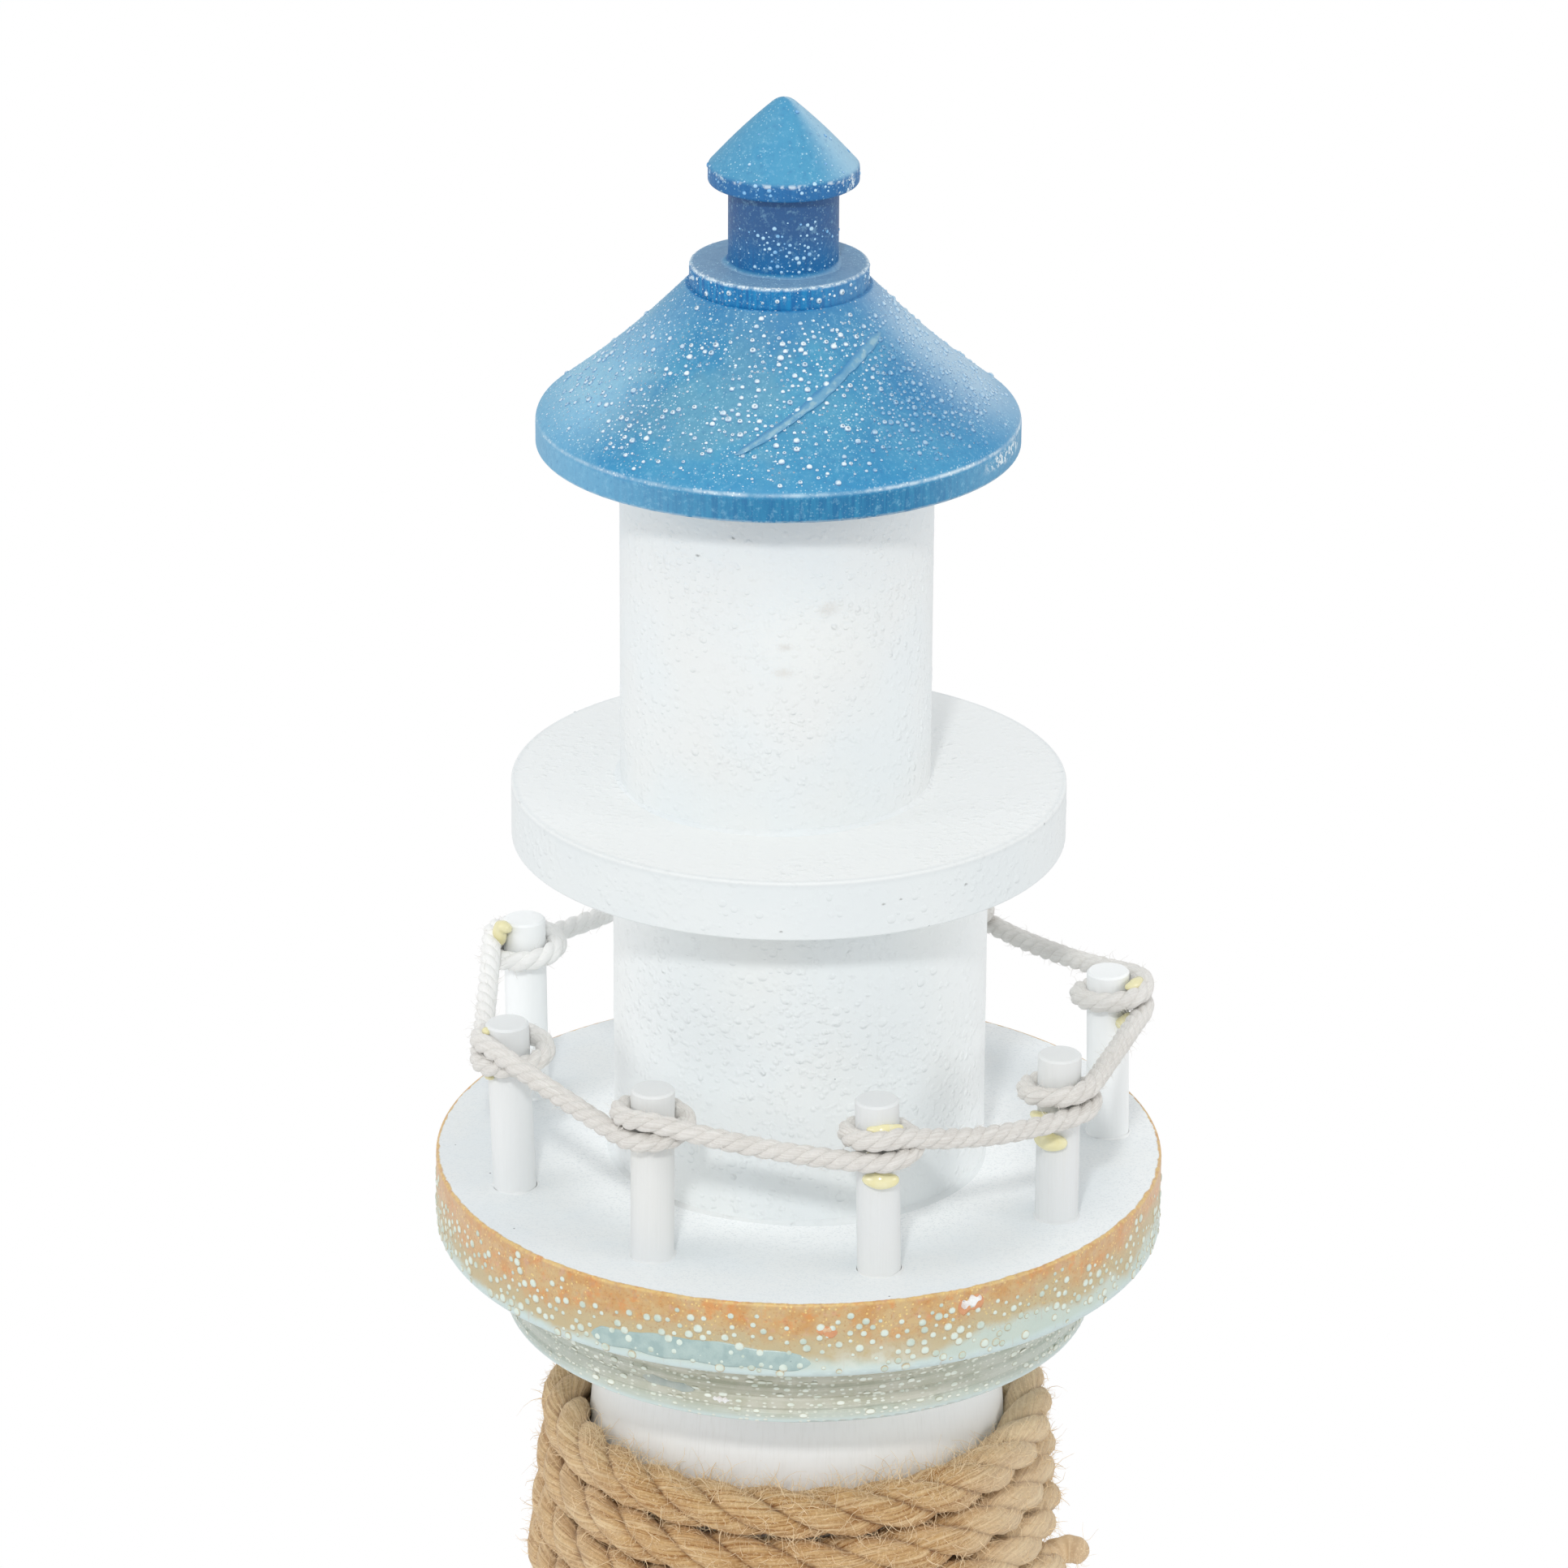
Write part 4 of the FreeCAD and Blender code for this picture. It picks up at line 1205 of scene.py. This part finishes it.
# %% [markdown]
# ## Laying strands round a path
# Rope is laid from three strands that wind round each other. A tree does the same: it
# copies the path three times, pushes each copy out from the path by an amount that turns as
# it travels, and sweeps a round section along it. The distance along, the place round the
# section and the height of the crest are stored for the finish, so that the fibres follow
# the strand and the grooves get a painted shade.


# %% Strands along a path
def laid_strands(name, path, sizes, finish):
    """sizes: in mm the strand's radius, its distance from the path, the length of one full
    turn (negative turns the other way), the step along, and the lumps' height."""
    entry = growing_tree(name, sizes)
    bench = entry.bench
    line = bench.node("GeometryNodeMeshToCurve", {"Mesh": entry})
    line = bench.node("GeometryNodeResampleCurve",
                      {"Curve": line, "Length": entry.out("Step") * mm}, mode="LENGTH")
    copies = bench.node("GeometryNodeDuplicateElements", {"Geometry": line, "Amount": 3},
                        domain="SPLINE")
    which = copies.out("Duplicate Index")
    travelled = bench.node("GeometryNodeSplineParameter", out="Length") / mm
    turn = which * (2 * pi / 3) + travelled / entry.out("Lay") * (2 * pi)
    normal = bench.normal()
    side = bench.node("GeometryNodeInputTangent").vector("CROSS_PRODUCT", normal)
    reach = entry.out("Reach") * mm
    push = normal.scaled(turn.math("COSINE", turn) * reach).vector(
        "ADD", side.scaled(turn.math("SINE", turn) * reach))
    marked = copies.store("along", travelled).store("strand", which).store(
        "heart", bench.position(), "FLOAT_VECTOR")
    wound = bench.node("GeometryNodeSetPosition", {"Geometry": marked, "Offset": push})
    section = bench.node("GeometryNodeCurvePrimitiveCircle",
                         {"Resolution": 13, "Radius": entry.out("Strand") * mm}, "Curve",
                         mode="RADIUS")
    direction = bench.position().vector("NORMALIZE", (0.0, 0.0, 0.0))
    section = section.store("section", direction, "FLOAT_VECTOR")
    tube = bench.node("GeometryNodeCurveToMesh",
                      {"Curve": wound, "Profile Curve": section, "Fill Caps": True})
    lump = (bench.position().scaled(1 / mm).noise(0.34, 3.0) - 0.5) * entry.out("Lumps") * mm
    tube = bench.node("GeometryNodeSetPosition",
                      {"Geometry": tube, "Offset": bench.normal().scaled(lump)})
    away = bench.position().vector("SUBTRACT", bench.stored("heart", "FLOAT_VECTOR"))
    distance = bench.node("ShaderNodeVectorMath", {0: away}, "Value", operation="LENGTH")
    tube = tube.store("crest", distance / ((entry.out("Reach") + entry.out("Strand")) * mm))
    smooth = bench.node("GeometryNodeSetShadeSmooth", {"Geometry": tube})
    return grown_piece(name, smooth, path, sizes, finish)


# %% [markdown]
# ## Yarn finishes
# Cotton and jute are both bundles of fine fibres that run almost along the rope, so on each
# strand they slant the other way from the strand itself. The finish turns the stored place
# round the section as it goes along, and draws the fibres as a noise that is long one way
# and short the other. Jute is golden and cotton a warm off-white; both get a painted shade
# in the gaps between strands, and painted light: the jute at the sides, the cotton behind
# the rooms.


# %% Yarn
def yarn_finish(name, light, middle, dark, groove_shade, fibre_turn, fineness, relief, sheen, pale_share,
                pale):
    """fibre_turn: how many radians a fibre turns round the strand in one millimetre. The
    colour just before it is a painted shade in the grooves between strands, and the
    function after sheen gives the share of the pale colour, which is painted light."""
    place = new_finish(name)
    bench = place.bench
    along = bench.painted("along")
    turned = bench.node("ShaderNodeVectorRotate",
                        {"Vector": bench.painted("section", "Vector"),
                         "Angle": along * fibre_turn}, "Vector", rotation_type="Z_AXIS")
    x, y, _ = turned.parts()
    wrapped = bench.joined(x * fineness, y * fineness,
                           along * 0.11 + bench.painted("strand") * 37.0)
    fibres = wrapped.noise(1.0, 6.0, 0.72)
    bundles = wrapped.scaled(0.45).noise(1.0, 3.0, 0.6)
    # Painted shade in the grooves between strands
    deep = (bench.painted("crest") + (fibres - 0.5) * 0.25).fall(0.64, 0.84)
    colour = fibres.rise(0.34, 0.60).mix(dark, middle).coats(
        (bundles.rise(0.45, 0.75) * 0.7, light),
        (place.noise(1.6, 4.0, 0.7).rise(0.48, 0.68) * 0.5, light),
        (place.noise(0.12, 3.0, 0.6).rise(0.5, 0.75) * 0.3, dark),
        (deep * 0.75, groove_shade), (pale_share(place), pale))
    return end_finish(colour, 0.82 + fibres * 0.1, fibres * relief + bundles * relief * 1.4,
                      0.2, {"Sheen Weight": sheen, "Sheen Roughness": 0.5})


def sides_painted_lighter(place):
    """Painted light: the winding is painted paler at the sides, more at the right."""
    x = place.parts()[0]
    return x.rise(26.0, 42.0) * 0.45 + x.rise(-30.0, -42.0) * 0.2


def painted_light_behind(place):
    """Painted light: the cord behind the rooms is painted paler, more so at the left."""
    x, y, _ = place.parts()
    return y.rise(-36.0, 12.0) * (x.rise(20.0, -20.0) * 0.65 + 0.25)


jute_yarn = yarn_finish("jute_yarn", (246, 220, 176), (212, 174, 122), (158, 108, 56),
                        (108, 60, 20), 0.21, 7.5, 0.26, 0.15, sides_painted_lighter,
                        (238, 222, 192))
cotton_yarn = yarn_finish("cotton_yarn", (234, 232, 227), (224, 221, 216),
                          (207, 202, 195), (209, 204, 197), -0.5, 5.2, 0.12, 0.2,
                          painted_light_behind, (252, 252, 250))
print("yarns made")

# %% Lay the cotton cord
cotton_cord = laid_strands(
    "cotton_railing_cord", cord_path,
    {"Strand": 1.14, "Reach": 0.80, "Lay": -9.4, "Step": 0.55, "Lumps": 0.24},
    cotton_yarn)
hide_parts("railing_cord")

# %% [markdown]
# ## The jute winding
# The rope lies in level turns over the front and climbs from one turn to the next at the
# back. A loop writes the height and the radius for every 15 degrees of the four turns, from
# the same rule as the solid: a quarter turn before and after the back takes up half of the
# climb each. The tower narrows upwards, so the radius follows the height.

# %% The path of the rope
rope_radius = 4.5
rope_gap = 0.4
rope_turn = 9.6
rope_below_disc = 19.9
rope_first = disc_foot - rope_below_disc - rope_radius
rope_turns = 4
rope_end_angle = 68.0
rope_turn_end = 165.0
tower_axis = Vector()


def rope_height(turn, angle):
    """angle runs from -180 at the back over the front, 0, to 180 at the back again."""
    behind = max(0.0, abs(angle) - 90.0) / 90.0
    climb = (rope_turn / 2) * behind ** 2
    return rope_first - turn * rope_turn + (climb if angle < 0 else -climb)


def rope_path_radius(height):
    share = (height - tower_foot) / (tower_top - tower_foot)
    return (tower_foot_radius + (tower_neck_radius - tower_foot_radius) * share
            + rope_gap + rope_radius)


def rope_points():
    lead = around(180.0, rope_path_radius(rope_first), rope_first + rope_turn / 2 + 0.7,
                  tower_axis)
    points = [lead + Vector((2 * rope_radius, 0.0, 0.0))]
    for turn in range(rope_turns):
        last = rope_end_angle if turn == rope_turns - 1 else rope_turn_end
        steps = round((last + 180.0) / 15.0)
        for step in range(steps + 1):
            angle = -180.0 + (last + 180.0) * step / steps
            height = rope_height(turn, angle)
            points.append(around(angle, rope_path_radius(height) * 1.002, height, tower_axis))
    turn = radians(rope_end_angle)
    tail = points[-1] + Vector((cos(turn), sin(turn), 0.0)) * 2 * rope_radius
    return points + [points[-1].lerp(tail, 0.5), tail]


jute_rope = laid_strands(
    "jute_rope_winding", smooth_path("rope_path", rope_points()),
    {"Strand": 2.74, "Reach": 2.05, "Lay": 33.0, "Step": 0.80, "Lumps": 0.95},
    jute_yarn)
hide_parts("rope_winding")

# %% [markdown]
# ## The end of the rope
# Where the rope was cut, one strand bends out and stands off the tower. It is the same
# yarn, swept along a short curve with a round, slightly swollen tip. It stores no place
# round its section, so its untwisted fibres show as bands of light and dark.


# %% One loose strand
def end_strand(spokes=18):
    level = rope_first - (rope_turns - 1) * rope_turn
    direction = radians(rope_end_angle)
    ahead = Vector((cos(direction), sin(direction), 0.0))
    outward = Vector((sin(direction), -cos(direction), 0.0))
    face = (around(rope_end_angle, rope_path_radius(level), level, tower_axis)
            + ahead * 2 * rope_radius)
    bends = ((-3, 0), (0, 0), (2.4, 0), (5.0, 0.6), (6.8, 2.6), (7.0, 5.0), (7.0, 6.9))
    chain = smooth_path("end_strand_path",
                        [face + ahead * far + outward * out for far, out in bends], 8)
    spots = [vertex.co / mm for vertex in chain.vertices]
    shape = bmesh.new()
    upward = Vector((0, 0, 1))
    travelled = 0.0
    loops, along = [], []
    last = len(spots) - 1
    for number, spot in enumerate(spots):
        before = spots[max(0, number - 1)]
        after = spots[min(last, number + 1)]
        travelled += (spot - before).length
        side = (after - before).normalized().cross(upward).normalized()
        share = number / last
        tip = max(0.0, (share - 0.80) / 0.20)
        swell = ((2.4 + 0.55 * share ** 2 + 0.12 * sin(share * 29))
                 * max(0.12, (1 - tip ** 2) ** 0.5))
        loop = []
        for spoke in range(spokes):
            angle = 2 * pi * spoke / spokes
            ripple = 1 + 0.035 * sin(5 * angle + travelled * 0.9)
            loop.append(shape.verts.new(
                spot + (side * cos(angle) + upward * sin(angle)) * swell * ripple))
            along.append(travelled)
        loops.append(loop)
    bridged(shape, loops)
    shape.faces.new(loops[0][::-1])
    shape.faces.new(loops[-1])
    mesh = ended_mesh("jute_end_strand", shape, along=along, crest=[1.0] * len(along))
    return piece("jute_end_strand", mesh, jute_yarn)


loose_strand = end_strand()
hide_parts("rope_end_strand")

# %% [markdown]
# ## Loose fibres
# Jute sheds hairs all over, and cotton a few. Bent hairs of a few faces each are scattered
# over the strands. Each leans along a mixture of the surface's own direction and a random
# one, so none stands up like a bristle.


# %% Hairs to scatter
def hair(name, bend, curl, steps, girth):
    """A thin three-sided stalk, one unit long, that bends and tapers."""
    shape = bmesh.new()
    loops = []
    for step in range(steps + 1):
        t = step / steps
        spot = Vector((bend * t * t, curl * sin(3.2 * t) * t, t * (1 - 0.25 * abs(bend) * t)))
        thickness = girth * (1.0 - 0.7 * t)
        loops.append([shape.verts.new(spot + Vector((cos(2 * pi * side / 3),
                                                     sin(2 * pi * side / 3), 0)) * thickness)
                      for side in range(3)])
    bridged(shape, loops)
    shape.faces.new(loops[0][::-1])
    shape.faces.new(loops[-1])
    return bpy.data.objects.new(name, ended_mesh(name, shape, in_mm=False, smooth=False))


long_hairs = [hair("straight_hair", 0.35, 0.1, 4, 0.017), hair("bent_hair", 0.9, 0.25, 4, 0.017),
              hair("curly_hair", 0.6, -0.5, 5, 0.017)]
fuzz_hairs = [hair("short_fuzz", 0.3, 0.1, 3, 0.032), hair("bent_fuzz", 0.8, 0.3, 3, 0.032)]
print("kinds of hair:", len(long_hairs) + len(fuzz_hairs))


# %% Where hairs show
def outside(bench):
    """The crests of the strands."""
    return bench.stored("crest").rise(0.72, 0.90)


def off_tower(bench):
    """The crests of the strands on the side that looks away from the tower."""
    x, y, _ = bench.position().parts()
    way = bench.joined(x, y, 0.0).vector("NORMALIZE", (0.0, 0.0, 0.0))
    facing = way.vector("DOT_PRODUCT", bench.normal(), "Value")
    return outside(bench) * facing.rise(-0.25, 0.2)


def front_of_tower(bench):
    """The same crests, thinned at the sides, where handling wore the long fibres off."""
    x = bench.position().parts()[0]
    return off_tower(bench) * (1 - (abs(x) / mm).rise(30.0, 42.0) * 0.85)


def upper_edge(bench):
    """The upper side of the first turn over the front."""
    _, y, z = bench.position().parts()
    return (z / mm).rise(rope_first + 2.4, rope_first + 4.4) * (y < -20 * mm)


print("upper edge of the first turn:", round(rope_first + rope_radius, 1))


# %% Scatter hairs over a rope
def loose_hairs(name, rope, kinds_of_hair, sizes, finish, outward=outside):
    """sizes: hairs per square millimetre, shortest and longest in mm, lean, and seed.
    outward(bench) is 1 where hairs show and 0 where the rope lies hidden."""
    sizes = dict(zip(("Density", "Shortest", "Longest", "Lean", "Seed"), sizes))
    entry = growing_tree(name, sizes)
    bench, seed = entry.bench, entry.out("Seed")
    points = bench.node("GeometryNodeDistributePointsOnFaces",
                        {"Mesh": entry, "Seed": seed,
                         "Density": outward(bench) * entry.out("Density") / (mm * mm)},
                        "Points")
    stray = bench.node("FunctionNodeRandomValue",
                       {0: (-1.0, -1.0, -1.0), 1: (1.0, 1.0, 1.0), 8: seed + 1},
                       data_type="FLOAT_VECTOR")
    lean = stray.scaled(entry.out("Lean")).vector("ADD", points.out("Normal"))
    spin = bench.joined(0.0, 0.0, bench.chance(seed + 2, 0.0, 2 * pi))
    turned = bench.node("FunctionNodeAlignRotationToVector",
                        {"Rotation": bench.node("FunctionNodeEulerToRotation", {0: spin}),
                         "Vector": lean}, axis="Z")
    short, long = entry.out("Shortest"), entry.out("Longest")
    size = (short + (long - short) * bench.chance(seed + 3) ** 2.0) * mm
    kinds = bench.tree.nodes.new("GeometryNodeJoinGeometry")
    for shape in kinds_of_hair:
        one = bench.node("GeometryNodeObjectInfo", {"Object": shape, "As Instance": True},
                         "Geometry")
        bench.tree.links.new(one.socket, kinds.inputs[0])
    hairs = bench.node(
        "GeometryNodeInstanceOnPoints",
        {"Points": points, "Instance": Wire(bench, kinds.outputs[0]), "Pick Instance": True,
         "Rotation": turned, "Scale": bench.joined(size, size, size)})
    grown_piece(name, hairs, rope.data.copy(), sizes, finish)


def hair_finish(name, light, dark):
    tone = new_finish(name).noise(0.7)
    return end_finish(tone.mix(dark, light), 0.7 + tone * 0.1, tone * 0.01, 0.3)


jute_hair = hair_finish("jute_hair", (250, 232, 200), (222, 190, 144))
edge_hair = hair_finish("jute_edge_hair", (240, 220, 186), (214, 184, 142))
cotton_hair = hair_finish("cotton_hair", (240, 238, 233), (216, 211, 204))
loose_hairs("jute_loose_hairs", jute_rope, long_hairs, (0.34, 1.8, 6.0, 1.7, 41),
            jute_hair, front_of_tower)
loose_hairs("jute_edge_hairs", jute_rope, long_hairs, (1.9, 1.2, 6.0, 1.4, 59),
            edge_hair, upper_edge)
loose_hairs("jute_fuzz", jute_rope, fuzz_hairs, (0.50, 1.2, 2.8, 2.0, 53), jute_hair,
            off_tower)
loose_hairs("jute_end_hairs", loose_strand, long_hairs, (0.40, 1.2, 4.0, 1.4, 43),
            jute_hair)
loose_hairs("cotton_loose_hairs", cotton_cord, fuzz_hairs, (0.45, 0.6, 2.0, 1.7, 47),
            cotton_hair)

# %% [markdown]
# ## Hot glue
# The turns of cord are held by beads of hot glue that cooled where they were pressed on.
# Metaballs suit them: soft ellipsoids that flow together where they touch. Each bead is
# given by its post, its angle on the post, how far it lies below the post's top, and its
# half sizes. Metaballs work coarsely at real size, so they are built one unit to the
# millimetre.

# %% Beads of glue
glue_beads = (
    # post, angle, below the top, half width, half height, thickness, distance off the axis
    (0, -62.0, 2.2, 1.7, 3.4, 1.7, 5.4), (0, -48.0, 0.4, 1.8, 1.6, 1.6, 5.2),
    (1, -72.0, 1.2, 1.1, 0.9, 1.1, 5.0), (1, -58.0, 9.8, 1.2, 0.8, 1.2, 5.2),
    (2, -52.0, 9.4, 1.4, 0.9, 1.4, 5.4), (3, 10.0, 4.4, 3.3, 1.5, 1.4, 4.2),
    (3, -26.0, 9.6, 2.6, 0.9, 2.2, 5.0), (3, -2.0, 14.2, 3.2, 2.2, 1.9, 4.6),
    (4, 30.0, 6.0, 2.8, 0.8, 1.2, 4.3), (4, -36.0, 11.4, 3.5, 1.6, 2.0, 4.7),
    (4, -24.0, 15.9, 3.1, 2.4, 1.8, 4.5), (5, 58.0, 1.6, 2.6, 1.3, 1.6, 5.0),
    (5, 40.0, 8.8, 2.7, 2.3, 2.2, 5.0), (6, -20.0, 2.0, 2.0, 1.6, 1.6, 4.8),
    (7, 10.0, 12.6, 2.2, 1.6, 1.6, 4.6),
)


def glue_drops():
    """Each bead is three ellipsoids in a row that bends with the post."""
    data = bpy.data.metaballs.new("hot_glue")
    data.resolution = data.render_resolution = 0.34
    data.threshold = 0.35
    for number, angle, below, width, height, depth, off_axis in glue_beads:
        level = post_tops[number] - below
        axis_point = post_point(number, level)
        for shift, share in ((-0.55, 0.72), (0.0, 1.0), (0.5, 0.8)):
            turn = angle + degrees(shift * width / off_axis)
            soft = data.elements.new(type="ELLIPSOID")
            soft.co = around(turn, off_axis, level - 0.12 * abs(shift), axis_point)
            soft.rotation = Euler((0, 0, radians(turn))).to_quaternion()
            soft.size_x, soft.size_y, soft.size_z = width * share, depth * share, height * share
            soft.radius = 1.0
            soft.stiffness = 4.0
    drawn = bpy.data.objects.new("hot_glue", data)
    bpy.context.collection.objects.link(drawn)
    view = bpy.context.evaluated_depsgraph_get()
    mesh = bpy.data.meshes.new_from_object(drawn.evaluated_get(view))
    bpy.data.objects.remove(drawn)
    mesh.transform(Matrix.Scale(mm, 4))
    mesh.polygons.foreach_set("use_smooth", [True] * len(mesh.polygons))
    return mesh


def glue_finish():
    cloud = new_finish("hot_glue").noise(0.5, 3.0, 0.6)
    return end_finish(cloud.mix((250, 245, 208), (240, 230, 168)), 0.10 + cloud * 0.10,
                      cloud * 0.10, 0.6, {"Transmission Weight": 0.12, "IOR": 1.48})


glue = piece("hot_glue_beads", glue_drops(), glue_finish())
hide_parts("railing_glue")

# %% [markdown]
# ## Floor, light and camera
# The floor is pale and plain. The camera sees it white away from the object, and near the
# object it keeps the soft shadow. One small soft lamp from the front, above the camera,
# draws the bands of shade under the roof and the galleries, and two wide ones fill the
# sides. The pale world does the rest, at a level where a colour renders about as it is
# written.


# %% Floor
def floor_finish():
    place = new_finish("studio_floor")
    bench = place.bench
    x, y, _ = place.parts()
    away = ((x * x + y * y) ** 0.5).rise(240.0, 520.0)
    ground = bench.node("ShaderNodeBsdfDiffuse", {
        "Color": place.noise(0.5).mix((246, 246, 246), (248, 248, 248))})
    white = bench.node("ShaderNodeEmission", {"Strength": 1.0})
    both = bench.node("ShaderNodeMixShader", {0: bench.seen() * away, 1: ground, 2: white})
    bench.node("ShaderNodeOutputMaterial", {"Surface": both})
    return bench.finish


def floor_mesh(half=8.0, level=-0.05 * mm):
    """A square, a hair's breadth below the felt."""
    shape = bmesh.new()
    shape.faces.new([shape.verts.new((x * half, y * half, level))
                     for x, y in ((-1, -1), (1, -1), (1, 1), (-1, 1))])
    mesh = ended_mesh("studio_floor", shape, in_mm=False, smooth=False)
    mesh.materials.append(floor_finish())
    return mesh


floor = bpy.data.objects.new("studio_floor", floor_mesh())
bpy.context.collection.objects.link(floor)
print("floor laid")


# %% World
def sky_light(bench):
    """A soft box overhead and a pale sheet behind: both are brighter than the rest."""
    _, y, z = bench.node("ShaderNodeTexCoord", out="Generated").parts()
    return z.rise(0.45, 0.80) * 0.42 + y.rise(-0.1, 0.7) * 0.15 + 0.51


world = bpy.data.worlds.new("studio")
bpy.context.scene.world = world
world.use_nodes = True
world.node_tree.nodes.clear()
sky = Bench(world.node_tree)
lit = sky.node("ShaderNodeBackground", {"Color": ink(252, 253, 254),
                                        "Strength": sky_light(sky)})
white = sky.node("ShaderNodeBackground", {"Strength": 1.0})
both = sky.node("ShaderNodeMixShader", {0: sky.seen(), 1: lit, 2: white})
sky.node("ShaderNodeOutputWorld", {"Surface": both})
print("world lit")


# %% Lamps
def lamp(name, kind, strength, turn, place=(0.0, 0.0, 0.0), **settings):
    data = bpy.data.lights.new(name, kind)
    data.energy = strength
    for key, value in settings.items():
        setattr(data, key, value)
    made = bpy.data.objects.new(name, data)
    made.location = place
    made.rotation_euler = turn
    bpy.context.collection.objects.link(made)
    print(name, "strength", strength)


# The front lamp is small and near the camera, so its light comes steeper to the lower
# galleries. The side lamps are wide and a little above level.
front_place, front_aim = Vector((-105.0, -950.0, 1130.0)), Vector((0.0, 0.0, 440.0))
lamp("front_lamp", "AREA", 4.0, (front_place - front_aim).to_track_quat("Z", "Y").to_euler(),
     front_place * mm, shape="DISK", size=0.09)
for side, swing in (("left_lamp", -72.0), ("right_lamp", 72.0)):
    lamp(side, "SUN", 0.54, Euler((radians(90 - 16), 0.0, radians(swing))),
         angle=radians(24.0))

# %% Camera
# The distance, the pitch and the focal length were fitted to the photo's round edges
camera_target = Vector((-3.2, 0.0, 468.1)) * mm
camera_distance = 1298.25 * mm
camera_pitch = radians(22.14)
camera_roll = radians(0.35)
picture_size, focal_pixels = 1932.0, 8655.0
camera_data = bpy.data.cameras.new("camera")
camera_data.sensor_width = 36.0
camera_data.lens = focal_pixels / picture_size * 36.0
camera_data.clip_start = 0.1
camera_data.clip_end = 30.0
camera = bpy.data.objects.new("camera", camera_data)
camera.location = camera_target + camera_distance * Vector((0, -cos(camera_pitch),
                                                            sin(camera_pitch)))
camera.rotation_euler = (Euler((pi / 2 - camera_pitch, 0, 0)).to_matrix()
                         @ Matrix.Rotation(camera_roll, 3, "Z")).to_euler()
bpy.context.collection.objects.link(camera)
bpy.context.scene.camera = camera
bpy.context.scene.view_settings.view_transform = "Standard"
print("camera lens", round(camera_data.lens, 1))
